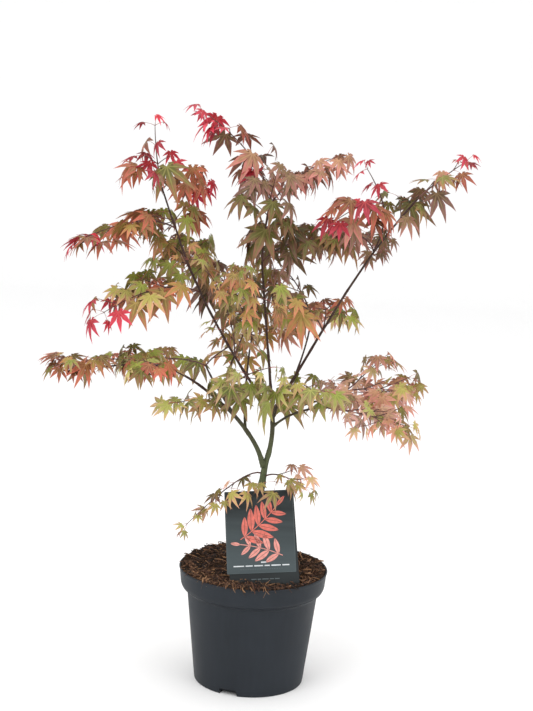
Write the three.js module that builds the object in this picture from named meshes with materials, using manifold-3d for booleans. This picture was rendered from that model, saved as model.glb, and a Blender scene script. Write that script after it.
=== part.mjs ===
// A young Japanese maple in a round nursery pot: pot, compost, a plain plant label, trunk, boughs and
// masses of palmate leaves. Millimetres, +Z up. The origin is the middle of the pot's flat underside.
import * as THREE from 'three';
import { mergeVertices } from 'three/addons/utils/BufferGeometryUtils.js';
import Module from 'manifold-3d';

const wasm = await Module();
wasm.setup();

// Clearance between pieces that touch
const GAP = 0.3;

// Pot: outer radii and heights, wall, and the drain notches round its foot
const POT_HEIGHT = 203;
const RIM_RADIUS = 130;
const RIM_THICKNESS = 4;
const COLLAR_TOP_RADIUS = 126;
const COLLAR_FOOT_RADIUS = 123.5;
const COLLAR_FOOT_HEIGHT = 164;
const SHOULDER_RADIUS = 112;
const SHOULDER_HEIGHT = 158;
const FOOT_RADIUS = 96.5;
const FOOT_EDGE = 3;
const POT_WALL = 2.2;
const FLOOR_THICKNESS = 3;
const HEEL_RADIUS = 86;
const HEEL_HEIGHT = 13;
const POT_SIDES = 36;
const NOTCH_COUNT = 3;
const NOTCH_FIRST_ANGLE = -110.6;
const NOTCH_WIDTH = [34, 27];
const NOTCH_HEIGHT = 9;
const NOTCH_DEPTH = 7;

// Compost: level at the pot's wall, the mound above it, and the level patch round the trunk
const SOIL_EDGE_LEVEL = 198;
const SOIL_MOUND = 14;
const SOIL_MOUND_CENTRE = [-30, 45];
const SOIL_MOUND_SPREAD = 75;
const SOIL_RINGS = 4;
const GROUND_PATCH_RADIUS = 20;

// Label: two cards of one size, one behind the other, leaning back and turned a little in their plane
const CARD_WIDTH = 118;
const CARD_HEIGHT = 140;
const CARD_THICKNESS = 0.9;
const CARD_FOOT = [16.5, -82, 199];
const CARD_LEAN = 17.5;
const CARD_TURN = 5;
const FRONT_CARD_LIFT = 18;
const REAR_CARD_ROOT = 8;

// Limbs: each grows from a place along its parent, given as a share of the parent's length, to its
// tip. bow is how far its middle stands off the straight line. radii are at its start and tip.
const TRUNK_FOOT = [3, 0];
const ROOT_FLARE = 7.5;
const FLARE_HEIGHT = 16;
const LIMB_SIDES = 6;
const LIMB_STEP = 50;
const LIMBS = [
  { name: 'trunk', tip: [11, 0, 383], bow: [-3, 4, 0], radii: [6.4, 5.2] },
  { name: 'stem_left', from: ['trunk', 1], tip: [-60, -12, 488],
    bow: [11, 0, 0], radii: [3.8, 3.2] },
  { name: 'stem_right', from: ['trunk', 1], tip: [19, 4, 480],
    bow: [6, 0, 0], radii: [4, 3.6] },
  { name: 'bough_left_low_inner', from: ['stem_left', 1], tip: [-171, -35, 559],
    bow: [0, 0, 9], radii: [2.6, 2.2] },
  { name: 'bough_left_low_outer', from: ['bough_left_low_inner', 1], tip: [-268, -50, 554],
    bow: [0, 0, 3], radii: [2.2, 1.8] },
  { name: 'bough_upright_left', from: ['stem_left', 1], tip: [-48, -45, 584],
    bow: [-8, 0, 0], radii: [2.2, 1.8] },
  { name: 'bough_upright_back', from: ['stem_left', 0.62], tip: [-22, 70, 602],
    bow: [-4, 8, 0], radii: [2.3, 1.8] },
  { name: 'bough_long_left_lower', from: ['stem_right', 1], tip: [-112, -20, 685],
    bow: [-6, 0, 0], radii: [3, 2.6] },
  { name: 'bough_long_left_middle', from: ['bough_long_left_lower', 1], tip: [-156, -35, 792],
    bow: [-3, 0, 0], radii: [2.5, 2.2] },
  { name: 'bough_long_left_upper', from: ['bough_long_left_middle', 1], tip: [-183, -45, 864],
    bow: [0, 0, 0], radii: [2.1, 1.8] },
  { name: 'bough_centre_lower', from: ['stem_right', 1], tip: [-11, 25, 736],
    bow: [0, 0, 0], radii: [3, 2.5] },
  { name: 'bough_centre_upper', from: ['bough_centre_lower', 1], tip: [1, 30, 839],
    bow: [-4, 0, 0], radii: [2.3, 1.9] },
  { name: 'bough_right_lower', from: ['stem_right', 1], tip: [98, -10, 629],
    bow: [2, 0, 2], radii: [3.1, 2.8] },
  { name: 'bough_right_middle', from: ['bough_right_lower', 1], tip: [177, -10, 766],
    bow: [-2, 0, 0], radii: [2.7, 2.4] },
  { name: 'bough_right_upper', from: ['bough_right_middle', 1], tip: [246, 0, 859],
    bow: [-2, 0, 0], radii: [2.2, 1.8] },
  { name: 'bough_right_inner', from: ['bough_right_middle', 1], tip: [186, -40, 848],
    bow: [7, 0, 0], radii: [2, 1.7] },
  { name: 'bough_right_low_front', from: ['stem_right', 0.75], tip: [112, -70, 507],
    bow: [-4, 2, 8], radii: [2.2, 1.8] },
  { name: 'bough_right_low_back', from: ['stem_right', 0.98], tip: [146, 60, 512],
    bow: [0, 0, -3], radii: [2.2, 1.8] },
  { name: 'bough_back_left', from: ['stem_left', 0.82], tip: [-105, 150, 530],
    bow: [-6, 6, 4], radii: [2.4, 1.8] },
  { name: 'bough_back_right', from: ['stem_right', 0.9], tip: [84, 150, 626],
    bow: [8, 10, -8], radii: [2.5, 1.8] },
];

// Masses: each stem grows from the tip of a limb, or from a share of its length, to its own end.
// leaf is the length of a leaf's middle lobe at the root of the mass, twig that of its side twigs,
// flat is 1 where the pairs lie level and 0 where they cross, droop tilts the blades down, and seed
// starts the mass's own row of random numbers.
const MASSES = [
  { name: 'mass_top_left', from: ['bough_long_left_upper', 1], end: [-195, -52, 960],
    leaf: 44, twig: 30, flat: 0.2, droop: 33, seed: 695 },
  { name: 'mass_top_left_side', from: ['bough_long_left_upper', 1], end: [-191, -92, 889],
    leaf: 64, twig: 24, flat: 0.5, droop: 31, seed: 74 },
  { name: 'mass_top_left_back', from: ['bough_long_left_upper', 1], end: [-121, 30, 858],
    leaf: 65, twig: 35, flat: 0.5, droop: 49, seed: 241 },
  { name: 'mass_upper_left_side', from: ['bough_long_left_middle', 1], end: [-308, -70, 768],
    leaf: 55, twig: 24, flat: 0.9, droop: 68, seed: 194 },
  { name: 'mass_upper_left_inner', from: ['bough_long_left_middle', 1], end: [-158, 62, 792],
    leaf: 59, twig: 34, flat: 0.6, droop: 55, seed: 186 },
  { name: 'mass_left_middle', from: ['bough_long_left_lower', 1], end: [-266, -98, 652],
    leaf: 60, twig: 56, flat: 0.8, droop: 68, seed: 76 },
  { name: 'mass_left_middle_back', from: ['bough_long_left_lower', 1], end: [-159, 70, 755],
    leaf: 55, twig: 35, flat: 0.8, droop: 48, seed: 885 },
  { name: 'mass_left_low_end', from: ['bough_left_low_outer', 1], end: [-343, -62, 565],
    leaf: 55, twig: 48, flat: 0.9, droop: 54, seed: 607 },
  { name: 'mass_left_low_middle', from: ['bough_left_low_inner', 1], end: [-293, 40, 551],
    leaf: 60, twig: 45, flat: 0.9, droop: 68, seed: 931 },
  { name: 'mass_left_low_front', from: ['bough_left_low_inner', 1], end: [-173, -132, 574],
    leaf: 59, twig: 51, flat: 0.9, droop: 58, seed: 993 },
  { name: 'mass_left_lower', from: ['stem_left', 1], end: [-144, -66, 502],
    leaf: 50, twig: 30, flat: 0.9, droop: 21, seed: 652 },
  { name: 'mass_left_centre', from: ['bough_upright_left', 1], end: [-129, -84, 769],
    leaf: 56, twig: 26, flat: 0.3, droop: 44, seed: 849 },
  { name: 'mass_left_centre_front', from: ['bough_upright_left', 1], end: [-19, -178, 717],
    leaf: 71, twig: 42, flat: 0.6, droop: 47, seed: 159 },
  { name: 'mass_left_centre_back', from: ['bough_upright_back', 1], end: [-163, 160, 751],
    leaf: 55, twig: 37, flat: 0.5, droop: 50, seed: 894 },
  { name: 'mass_centre_left', from: ['bough_centre_lower', 1], end: [8, -46, 892],
    leaf: 65, twig: 27, flat: 0.5, droop: 46, seed: 860 },
  { name: 'mass_centre_right', from: ['bough_centre_lower', 1], end: [186, 104, 766],
    leaf: 56, twig: 42, flat: 0.6, droop: 65, seed: 238 },
  { name: 'mass_top_arch', from: ['bough_centre_upper', 1], end: [-120, 18, 984],
    leaf: 55, twig: 24, flat: 0.4, droop: 54, seed: 266 },
  { name: 'mass_centre_top', from: ['bough_centre_upper', 1], end: [105, 24, 919],
    leaf: 58, twig: 41, flat: 0.6, droop: 45, seed: 788 },
  { name: 'mass_right_middle_inner', from: ['bough_right_lower', 1], end: [-77, -96, 711],
    leaf: 53, twig: 37, flat: 0.7, droop: 42, seed: 122 },
  { name: 'mass_right_middle_outer', from: ['bough_right_lower', 1], end: [100, 56, 666],
    leaf: 50, twig: 24, flat: 0.7, droop: 40, seed: 65 },
  { name: 'mass_right_under', from: ['bough_right_middle', 1], end: [80, 70, 800],
    leaf: 52, twig: 34, flat: 0.8, droop: 53, seed: 447 },
  { name: 'mass_right_dark', from: ['bough_right_upper', 0.35], end: [277, 34, 888],
    leaf: 53, twig: 36, flat: 0.7, droop: 50, seed: 754 },
  { name: 'mass_right_top', from: ['bough_right_upper', 1], end: [322, -8, 924],
    leaf: 54, twig: 24, flat: 0.5, droop: 37, seed: 284 },
  { name: 'mass_right_inner_top', from: ['bough_right_inner', 1], end: [154, -52, 906],
    leaf: 43, twig: 25, flat: 0.4, droop: 59, seed: 709 },
  { name: 'mass_right_inner_left', from: ['bough_right_inner', 1], end: [111, -66, 822],
    leaf: 62, twig: 56, flat: 0.7, droop: 54, seed: 323 },
  { name: 'mass_centre_low_left', from: ['stem_left', 1], end: [12, -146, 584],
    leaf: 55, twig: 44, flat: 0.9, droop: 59, seed: 583 },
  { name: 'mass_centre_low_right', from: ['stem_right', 1], end: [103, -140, 548],
    leaf: 70, twig: 38, flat: 0.9, droop: 56, seed: 446 },
  { name: 'mass_right_low_front', from: ['bough_right_low_front', 1], end: [242, -122, 493],
    leaf: 59, twig: 51, flat: 0.9, droop: 55, seed: 25 },
  { name: 'mass_right_low_far', from: ['bough_right_low_back', 1], end: [231, 20, 525],
    leaf: 52, twig: 48, flat: 0.9, droop: 41, seed: 419 },
  { name: 'mass_right_low_back', from: ['bough_right_low_back', 1], end: [183, 164, 534],
    leaf: 51, twig: 48, flat: 0.8, droop: 48, seed: 27 },
  { name: 'mass_back_left_outer', from: ['bough_back_left', 1], end: [-239, 216, 523],
    leaf: 59, twig: 36, flat: 0.8, droop: 60, seed: 902 },
  { name: 'mass_back_left_inner', from: ['bough_back_left', 1], end: [40, 250, 598],
    leaf: 59, twig: 43, flat: 0.7, droop: 47, seed: 101 },
  { name: 'mass_back_right_outer', from: ['bough_back_right', 1], end: [51, 226, 604],
    leaf: 51, twig: 27, flat: 0.7, droop: 62, seed: 958 },
  { name: 'mass_back_right_inner', from: ['bough_back_right', 1], end: [-30, 226, 754],
    leaf: 58, twig: 50, flat: 0.6, droop: 68, seed: 928 },
  { name: 'mass_low_left', from: ['trunk', 0.93], end: [-118, -40, 285],
    leaf: 40, twig: 24, flat: 0.9, droop: 63, seed: 225 },
  { name: 'mass_low_right', from: ['trunk', 0.9], end: [82, -50, 362],
    leaf: 40, twig: 24, flat: 0.8, droop: 34, seed: 518 },
];

// Growth rule: spacing of the leaf pairs, stalks, twigs, and how far a leaf keeps from what it
// does not belong to. Each turn and length varies at random within its spread.
const INTERNODE = 46;
const FIRST_DIRECTION_TURN = 137.5;
const STEM_BOW = 0.12;
const START_OFFSET = 0.45;
const PAIR_SPREAD = 18;
const TWIG_SIDES = 3;
const STEM_RADII = [2, 1.5];
const SIDE_TWIG_RADIUS = 1.05;
const STALK_TAPER = 0.4;
const LAST_PAIR_BACK = 2.5;
const TWIG_FORWARD = 0.6;
const TWIG_RISE = 0.12;
const TWIG_LENGTHS = [1.15, 0.65];
const TWIG_LENGTH_SPREAD = [0.8, 1.2];
const LAST_TWIG_PLACE = 0.9;
const STALK_LENGTH = [20, 36];
const STALK_RISE = -0.05;
const STALK_FORWARD = 0.45;
const STALK_SPREAD = [0.35, 0.35, 0.25];
const STALK_FROM_BEHIND = 0.3;
const LEAF_SIZE_SPREAD = [0.88, 1.12];
const HEADING_SPREAD = 30;
const DROOP_SPREAD = 16;
const ROLL_SPREAD = 22;
const TIP_SHRINK = 0.4;
const REACH_TWIGS = 2.2;
const TWIG_SHARE = 0.7;
const SPACE_MARGIN = 1.5;
const LIMB_CLEARANCE = 1.2;
const LEAF_CLEARANCE = 4;
const TRIES = 12;
const RETRY_SHRINK = 0.97;
const LOWEST_LEAF = 228;
const RIM_CLEARANCE = 10;
const LABEL_CLEARANCE = 3;
const BLADE_STEP = 13;
const TWIG_STEP = 7;
const PATH_STEPS = 12;

// Leaf: angle and length of the lobes on each side of the middle one, the notches between them as a
// share of the middle lobe, the thickness at the middle, and how far the tips curl down
const LOBES = [{ angle: 38, share: 0.88 }, { angle: 80, share: 0.58 }];
const NOTCH_SHARE = 0.3;
const LEAF_BASE_SHARE = 0.03;
const LEAF_THICKNESS = 2.2;
const TIP_CURL = 0.22;

// Smallest detail kept where twigs and leaves are fused
const FUSED_DETAIL = 0.05;

const DEGREE = Math.PI / 180;
const UP = new THREE.Vector3(0, 0, 1);
const vector = (list) => new THREE.Vector3(...list);

// Colours and finishes
const finish = (color, roughness) => new THREE.MeshStandardMaterial({ color, roughness, metalness: 0 });
const LEAF_COLOURS = {
  mass_top_left: 0xb8434a,
  mass_top_left_side: 0xb4544a,
  mass_right_inner_top: 0xc23a4c,
  mass_right_inner_left: 0xb9544c,
  mass_upper_left_side: 0xb87442,
  mass_top_arch: 0xa0645a,
  mass_centre_top: 0xa46a58,
  mass_right_top: 0xb0564e,
  mass_right_dark: 0x6b4a34,
  mass_centre_left: 0x5f4a38,
  mass_right_low_front: 0xb58a5c,
  mass_right_low_far: 0xc08a70,
};
const PLAIN_LEAF_COLOUR = 0x8a8040;

// Solids from closed meshes

function solidFrom(geometry) {
  const bare = geometry.clone();
  bare.deleteAttribute('normal');
  bare.deleteAttribute('uv');
  const merged = mergeVertices(bare, 1e-4);
  const vertProperties = new Float32Array(merged.attributes.position.array);
  const triVerts = new Uint32Array(merged.index.array);
  return new wasm.Manifold(new wasm.Mesh({ numProp: 3, vertProperties, triVerts }));
}

function geometryFrom(solid) {
  const mesh = solid.getMesh();
  const geometry = new THREE.BufferGeometry();
  const corners = new Float32Array(mesh.vertProperties);
  geometry.setAttribute('position', new THREE.BufferAttribute(corners, 3));
  geometry.setIndex(new THREE.BufferAttribute(new Uint32Array(mesh.triVerts), 1));
  geometry.computeVertexNormals();
  return geometry;
}

function closedGeometry(points, faces) {
  const geometry = new THREE.BufferGeometry();
  const corners = points.flatMap((point) => point.toArray());
  geometry.setAttribute('position', new THREE.Float32BufferAttribute(corners, 3));
  geometry.setIndex(faces.flat());
  return geometry;
}

// The largest piece of a solid: loose scraps and sealed hollows are left out
function largestPiece(solid) {
  const pieces = solid.decompose();
  return pieces.reduce((best, piece) => (piece.volume() > best.volume() ? piece : best));
}

// Curves and tubes

function bowedCurve(start, end, bow) {
  const control = start.clone().add(end).multiplyScalar(0.5).addScaledVector(bow, 2);
  return new THREE.QuadraticBezierCurve3(start, control, end);
}

function samples(curve, count) {
  const points = [];
  for (let index = 0; index <= count; index += 1) points.push(curve.getPointAt(index / count));
  return points;
}

// The direction of a row of points at each of them
function directions(centres) {
  return centres.map((centre, index) => {
    const before = centres[Math.max(0, index - 1)];
    const after = centres[Math.min(centres.length - 1, index + 1)];
    return after.clone().sub(before).normalize();
  });
}

// A closed tube through a row of ring centres, with flat ends. Each ring is turned as little as can
// be from the last one. swell widens the tube and moves its ends outwards.
function tube(centres, radiusAt, sides, swell = 0) {
  const last = centres.length - 1;
  const ahead = directions(centres);
  const normal = new THREE.Vector3().crossVectors(ahead[0], UP);
  if (normal.lengthSq() < 0.01) normal.set(1, 0, 0);
  const points = [];
  centres.forEach((ring, index) => {
    const shift = index === 0 ? -swell : index === last ? swell : 0;
    const centre = ring.clone().addScaledVector(ahead[index], shift);
    normal.addScaledVector(ahead[index], -normal.dot(ahead[index])).normalize();
    const across = new THREE.Vector3().crossVectors(ahead[index], normal);
    const radius = radiusAt(index / last) + swell;
    for (let side = 0; side < sides; side += 1) {
      const angle = 2 * Math.PI * side / sides;
      points.push(centre.clone()
        .addScaledVector(normal, radius * Math.cos(angle))
        .addScaledVector(across, radius * Math.sin(angle)));
    }
  });
  const faces = [];
  for (let ring = 0; ring < last; ring += 1) {
    for (let side = 0; side < sides; side += 1) {
      const a = ring * sides + side;
      const b = ring * sides + (side + 1) % sides;
      faces.push([a, b, b + sides], [a, b + sides, a + sides]);
    }
  }
  const end = last * sides;
  for (let side = 1; side < sides - 1; side += 1) {
    faces.push([0, side + 1, side], [end, end + side, end + side + 1]);
  }
  return solidFrom(closedGeometry(points, faces));
}

const taper = ([first, last]) => (share) => THREE.MathUtils.lerp(first, last, share);

// Pot

function potProfile() {
  const innerRim = COLLAR_TOP_RADIUS - POT_WALL;
  const outer = [
    [0, 0], [FOOT_RADIUS - 1, 0], [FOOT_RADIUS, FOOT_EDGE],
    [SHOULDER_RADIUS - 1, SHOULDER_HEIGHT], [SHOULDER_RADIUS, SHOULDER_HEIGHT + 1],
    [COLLAR_FOOT_RADIUS - 3, COLLAR_FOOT_HEIGHT - 3], [COLLAR_FOOT_RADIUS, COLLAR_FOOT_HEIGHT],
    [COLLAR_TOP_RADIUS, POT_HEIGHT - RIM_THICKNESS - 1], [RIM_RADIUS, POT_HEIGHT - RIM_THICKNESS],
    [RIM_RADIUS, POT_HEIGHT - 1], [RIM_RADIUS - 1, POT_HEIGHT],
  ];
  const inner = [
    [innerRim, POT_HEIGHT], [COLLAR_FOOT_RADIUS - POT_WALL, COLLAR_FOOT_HEIGHT + 2],
    [SHOULDER_RADIUS - POT_WALL, SHOULDER_HEIGHT + 2],
    [FOOT_RADIUS - POT_WALL + 0.5, HEEL_HEIGHT], [HEEL_RADIUS, HEEL_HEIGHT - 1],
    [HEEL_RADIUS - 8, FLOOR_THICKNESS], [0, FLOOR_THICKNESS],
  ];
  return { outer, inner };
}

function lathe(pairs, sides) {
  const profile = pairs.map(([radius, height]) => new THREE.Vector2(radius, height));
  return new THREE.LatheGeometry(profile, sides);
}

// A turned solid with its axis upright: a lathe turns its profile about Y, so it is stood up
function turned(pairs, sides) {
  const geometry = lathe(pairs, sides);
  geometry.rotateX(90 * DEGREE);
  return geometry;
}

function drainNotch(angle) {
  const [foot, top] = NOTCH_WIDTH.map((width) => width / 2);
  const outline = new THREE.Shape();
  outline.moveTo(-foot, -1);
  outline.lineTo(foot, -1);
  outline.lineTo(top, NOTCH_HEIGHT);
  outline.lineTo(-top, NOTCH_HEIGHT);
  outline.closePath();
  const geometry = new THREE.ExtrudeGeometry(outline, { depth: NOTCH_DEPTH + 20, bevelEnabled: false });
  geometry.rotateX(90 * DEGREE);
  geometry.rotateZ(180 * DEGREE);
  geometry.translate(0, FOOT_RADIUS - NOTCH_DEPTH, 0);
  geometry.rotateZ((angle - 90) * DEGREE);
  return solidFrom(geometry);
}

function makePot() {
  const { outer, inner } = potProfile();
  let pot = solidFrom(turned([...outer, ...inner], POT_SIDES));
  for (let notch = 0; notch < NOTCH_COUNT; notch += 1) {
    pot = pot.subtract(drainNotch(NOTCH_FIRST_ANGLE + notch * 360 / NOTCH_COUNT));
  }
  return pot;
}

// Compost

function soilLevel(x, y) {
  const away = Math.hypot(x - SOIL_MOUND_CENTRE[0], y - SOIL_MOUND_CENTRE[1]) / SOIL_MOUND_SPREAD;
  return SOIL_EDGE_LEVEL + SOIL_MOUND * Math.exp(-away * away);
}

const GROUND_LEVEL = soilLevel(...TRUNK_FOOT);

function groundLevel(x, y) {
  const away = Math.hypot(x - TRUNK_FOOT[0], y - TRUNK_FOOT[1]);
  const blend = THREE.MathUtils.smoothstep(away, GROUND_PATCH_RADIUS, 2 * GROUND_PATCH_RADIUS);
  return THREE.MathUtils.lerp(GROUND_LEVEL, soilLevel(x, y), blend);
}

// The compost fills the pot: its side follows the inside wall, and its top is the mound
function makeSoil() {
  const { inner } = potProfile();
  const wall = inner.slice(1).map(([radius, height]) => [Math.max(0, radius - GAP), height + GAP]);
  wall.reverse();
  const topRadius = COLLAR_TOP_RADIUS - POT_WALL - GAP - 0.5;
  const top = [];
  for (let ring = 0; ring <= SOIL_RINGS; ring += 1) {
    top.push([topRadius * (1 - ring / SOIL_RINGS), SOIL_EDGE_LEVEL]);
  }
  const geometry = turned([...wall, ...top], POT_SIDES);
  const position = geometry.attributes.position;
  for (let index = 0; index < position.count; index += 1) {
    if (position.getZ(index) > SOIL_EDGE_LEVEL - 1) {
      position.setZ(index, groundLevel(position.getX(index), position.getY(index)));
    }
  }
  return solidFrom(geometry);
}

// Label

function cardPlace() {
  return new THREE.Matrix4()
    .makeTranslation(...CARD_FOOT)
    .multiply(new THREE.Matrix4().makeRotationX(-CARD_LEAN * DEGREE))
    .multiply(new THREE.Matrix4().makeRotationY(-CARD_TURN * DEGREE));
}

// A card stands in the XZ plane of the label's own frame, from bottom to top, back from depth
function card(bottom, top, depth, swell = 0) {
  const geometry = new THREE.BoxGeometry(
    CARD_WIDTH + 2 * swell,
    CARD_THICKNESS + 2 * swell,
    top - bottom + 2 * swell,
  );
  geometry.translate(0, depth + CARD_THICKNESS / 2, (top + bottom) / 2);
  geometry.applyMatrix4(cardPlace());
  return solidFrom(geometry);
}

const CARD_TOP = FRONT_CARD_LIFT + CARD_HEIGHT;
const REAR_CARD_DEPTH = CARD_THICKNESS + GAP;

// Limbs

const limbs = new Map();

// Where a shoot leaves its limb: on the limb's axis, moved towards the side it grows to
function startOn([limbName, share], target) {
  const limb = limbs.get(limbName);
  const point = limb.curve.getPointAt(share);
  const along = limb.curve.getTangentAt(share);
  const towards = target.clone().sub(point);
  towards.addScaledVector(along, -towards.dot(along)).normalize();
  return point.addScaledVector(towards, START_OFFSET * limb.radiusAt(share));
}

function growLimb(spec) {
  const tip = vector(spec.tip);
  const foot = new THREE.Vector3(...TRUNK_FOOT, GROUND_LEVEL + GAP);
  const start = spec.from ? startOn(spec.from, tip) : foot;
  const curve = bowedCurve(start, tip, vector(spec.bow));
  const length = curve.getLength();
  const plain = taper(spec.radii);
  const flare = (share) => ROOT_FLARE * Math.exp(-share * length / FLARE_HEIGHT);
  const radiusAt = spec.from ? plain : (share) => plain(share) + flare(share);
  const steps = Math.max(3, Math.round(length / LIMB_STEP)) + (spec.from ? 0 : 4);
  const rings = samples(curve, steps);
  const limb = { name: spec.name, curve, radiusAt, rings };
  limb.swollen = tube(rings, radiusAt, LIMB_SIDES, GAP);
  limbs.set(spec.name, limb);
  return limb;
}

// The trunk's foot is cut flat and level at the ground
function cutLevel(solid) {
  return solid.trimByPlane([0, 0, 1], GROUND_LEVEL + GAP);
}

const solids = new Map();

function makeLimbs() {
  for (const spec of LIMBS) {
    const limb = growLimb(spec);
    let solid = tube(limb.rings, limb.radiusAt, LIMB_SIDES);
    if (!spec.from) solid = cutLevel(solid);
    for (const other of limbs.values()) {
      if (other !== limb) solid = solid.subtract(other.swollen);
    }
    solids.set(spec.name, largestPiece(solid));
  }
}

// Growth

// The same row of numbers from the same seed, each from 0 to 1
function seededRandom(seed) {
  let state = seed;
  return () => {
    state = (state * 1664525 + 1013904223) % 4294967296;
    return state / 4294967296;
  };
}

const segment = new THREE.Line3();
const nearest = new THREE.Vector3();

function distanceToPath(point, path) {
  let least = Infinity;
  for (let index = 1; index < path.length; index += 1) {
    segment.set(path[index - 1], path[index]);
    segment.closestPointToPoint(point, true, nearest);
    least = Math.min(least, nearest.distanceTo(point));
  }
  return least;
}

// Whether a point lies in a mass's own space: nearer to its stem than to any other, clear of every
// limb and of the label, and above the compost
function inOwnSpace(point, mass, masses) {
  const overPot = Math.hypot(point.x, point.y) < RIM_RADIUS + RIM_CLEARANCE;
  if (overPot && point.z < LOWEST_LEAF) return false;
  const own = distanceToPath(point, mass.path);
  if (own > mass.reach) return false;
  for (const other of masses) {
    if (other !== mass && distanceToPath(point, other.path) < own + SPACE_MARGIN) return false;
  }
  for (const limb of limbs.values()) {
    if (distanceToPath(point, limb.path) < limb.radiusAt(0) + LIMB_CLEARANCE) return false;
  }
  return !nearLabel(point);
}

const labelFrame = cardPlace().invert();

function nearLabel(point) {
  const local = point.clone().applyMatrix4(labelFrame);
  const back = REAR_CARD_DEPTH + CARD_THICKNESS;
  const across = Math.abs(local.x) < CARD_WIDTH / 2 + LABEL_CLEARANCE;
  const through = local.y > -LABEL_CLEARANCE && local.y < back + LABEL_CLEARANCE;
  return across && through && local.z < CARD_TOP + LABEL_CLEARANCE;
}

function distanceToRibs(point, leaf) {
  return Math.min(...leaf.outline.map((tip) => distanceToPath(point, [leaf.joint, tip])));
}

// Whether a blade's point is clear of its own mass's stem, twigs and other leaves
function clearOfOwn(point, mass, { leaves, twigs }) {
  if (distanceToPath(point, mass.path) < LEAF_CLEARANCE) return false;
  if (twigs.some((twig) => distanceToPath(point, twig) < LEAF_CLEARANCE)) return false;
  return leaves.every((other) => distanceToRibs(point, other) > LEAF_CLEARANCE);
}

function pointsBetween(from, to, spacing) {
  const count = Math.max(1, Math.ceil(from.distanceTo(to) / spacing));
  const points = [];
  for (let index = 1; index <= count; index += 1) points.push(from.clone().lerp(to, index / count));
  return points;
}

// The outline of a blade in its own frame: middle lobe along +X, up along +Z, stalk at the origin
function bladeOutline(size) {
  const place = (angle, share) => {
    const curl = TIP_CURL * share * share;
    return new THREE.Vector3(
      size * share * Math.cos(angle * DEGREE),
      size * share * Math.sin(angle * DEGREE),
      -size * curl,
    );
  };
  const outline = [place(0, 1)];
  let previous = 0;
  for (const lobe of LOBES) {
    outline.push(place((previous + lobe.angle) / 2, NOTCH_SHARE));
    outline.push(place(lobe.angle, lobe.share));
    previous = lobe.angle;
  }
  outline.push(new THREE.Vector3(-LEAF_BASE_SHARE * size, LEAF_THICKNESS / 2, 0));
  const mirror = (point) => new THREE.Vector3(point.x, -point.y, point.z);
  const mirrored = outline.slice(1).reverse().map(mirror);
  return [...outline, ...mirrored];
}

function leafAt(root, stalk, stalkLength, azimuth, droop, roll, size) {
  const joint = root.clone().addScaledVector(stalk, stalkLength);
  const frame = new THREE.Matrix4()
    .makeRotationZ(azimuth)
    .multiply(new THREE.Matrix4().makeRotationY(droop))
    .multiply(new THREE.Matrix4().makeRotationX(roll))
    .setPosition(joint);
  const outline = bladeOutline(size).map((point) => point.applyMatrix4(frame));
  const forward = new THREE.Vector3().setFromMatrixColumn(frame, 0);
  const normal = new THREE.Vector3().setFromMatrixColumn(frame, 2);
  return { root, joint, outline, forward, normal };
}

function leafPoints(leaf) {
  const rim = leaf.outline.flatMap((point, index) => {
    const next = leaf.outline[(index + 1) % leaf.outline.length];
    return pointsBetween(point, next, BLADE_STEP);
  });
  const ribs = leaf.outline.flatMap((point) => pointsBetween(leaf.joint, point, BLADE_STEP));
  const stalkPoints = pointsBetween(leaf.root, leaf.joint, TWIG_STEP).slice(1);
  return { blade: [leaf.joint, ...rim, ...ribs], stalkPoints };
}

// A leaf is one closed mesh. Its blade is a fan of facets from a top and a bottom middle to its thin
// rim. Between the two base points the fan is open, and the four-sided stalk runs on to the twig.
function leafSolid(leaf) {
  const half = LEAF_THICKNESS / 2;
  const top = leaf.joint.clone().addScaledVector(leaf.normal, half);
  const bottom = leaf.joint.clone().addScaledVector(leaf.normal, -half);
  const count = leaf.outline.length;
  const open = (count - 1) / 2;
  const faces = [];
  for (let index = 0; index < count; index += 1) {
    if (index !== open) {
      const next = (index + 1) % count;
      faces.push([index, next, count], [next, index, count + 1]);
    }
  }
  const mouth = [count, open, count + 1, open + 1];
  const corners = mouth.map((corner) => [...leaf.outline, top, bottom][corner]);
  const middle = corners[1].clone().add(corners[3]).multiplyScalar(0.5).lerp(leaf.joint, 0.5);
  const endCorner = (corner) => leaf.root.clone().addScaledVector(corner.clone().sub(middle), STALK_TAPER);
  const end = corners.map(endCorner);
  const first = count + 2;
  for (let side = 0; side < 4; side += 1) {
    const next = (side + 1) % 4;
    faces.push([mouth[side], mouth[next], first + next], [mouth[side], first + next, first + side]);
  }
  faces.push([first, first + 1, first + 2], [first, first + 2, first + 3]);
  return solidFrom(closedGeometry([...leaf.outline, top, bottom, ...end], faces));
}

// The pairs of a shoot stand in the middle of its straight stretches, so that each stalk is rooted
// well inside, and the last pair stands just short of the tip
function layShoot(curve) {
  const length = curve.getLength();
  const count = Math.max(1, Math.round(length / INTERNODE));
  const pairs = [];
  for (let pair = 1; pair <= count; pair += 1) pairs.push(pair / count * (1 - LAST_PAIR_BACK / length));
  const joints = pairs.slice(1).map((share, index) => (share + pairs[index]) / 2);
  const rings = [0, ...joints, 1].map((share) => curve.getPointAt(share));
  const roots = pairs.map((share, index) => {
    segment.set(rings[index], rings[index + 1]);
    return segment.closestPointToPoint(curve.getPointAt(share), true, new THREE.Vector3());
  });
  return { rings, pairs, roots };
}

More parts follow.
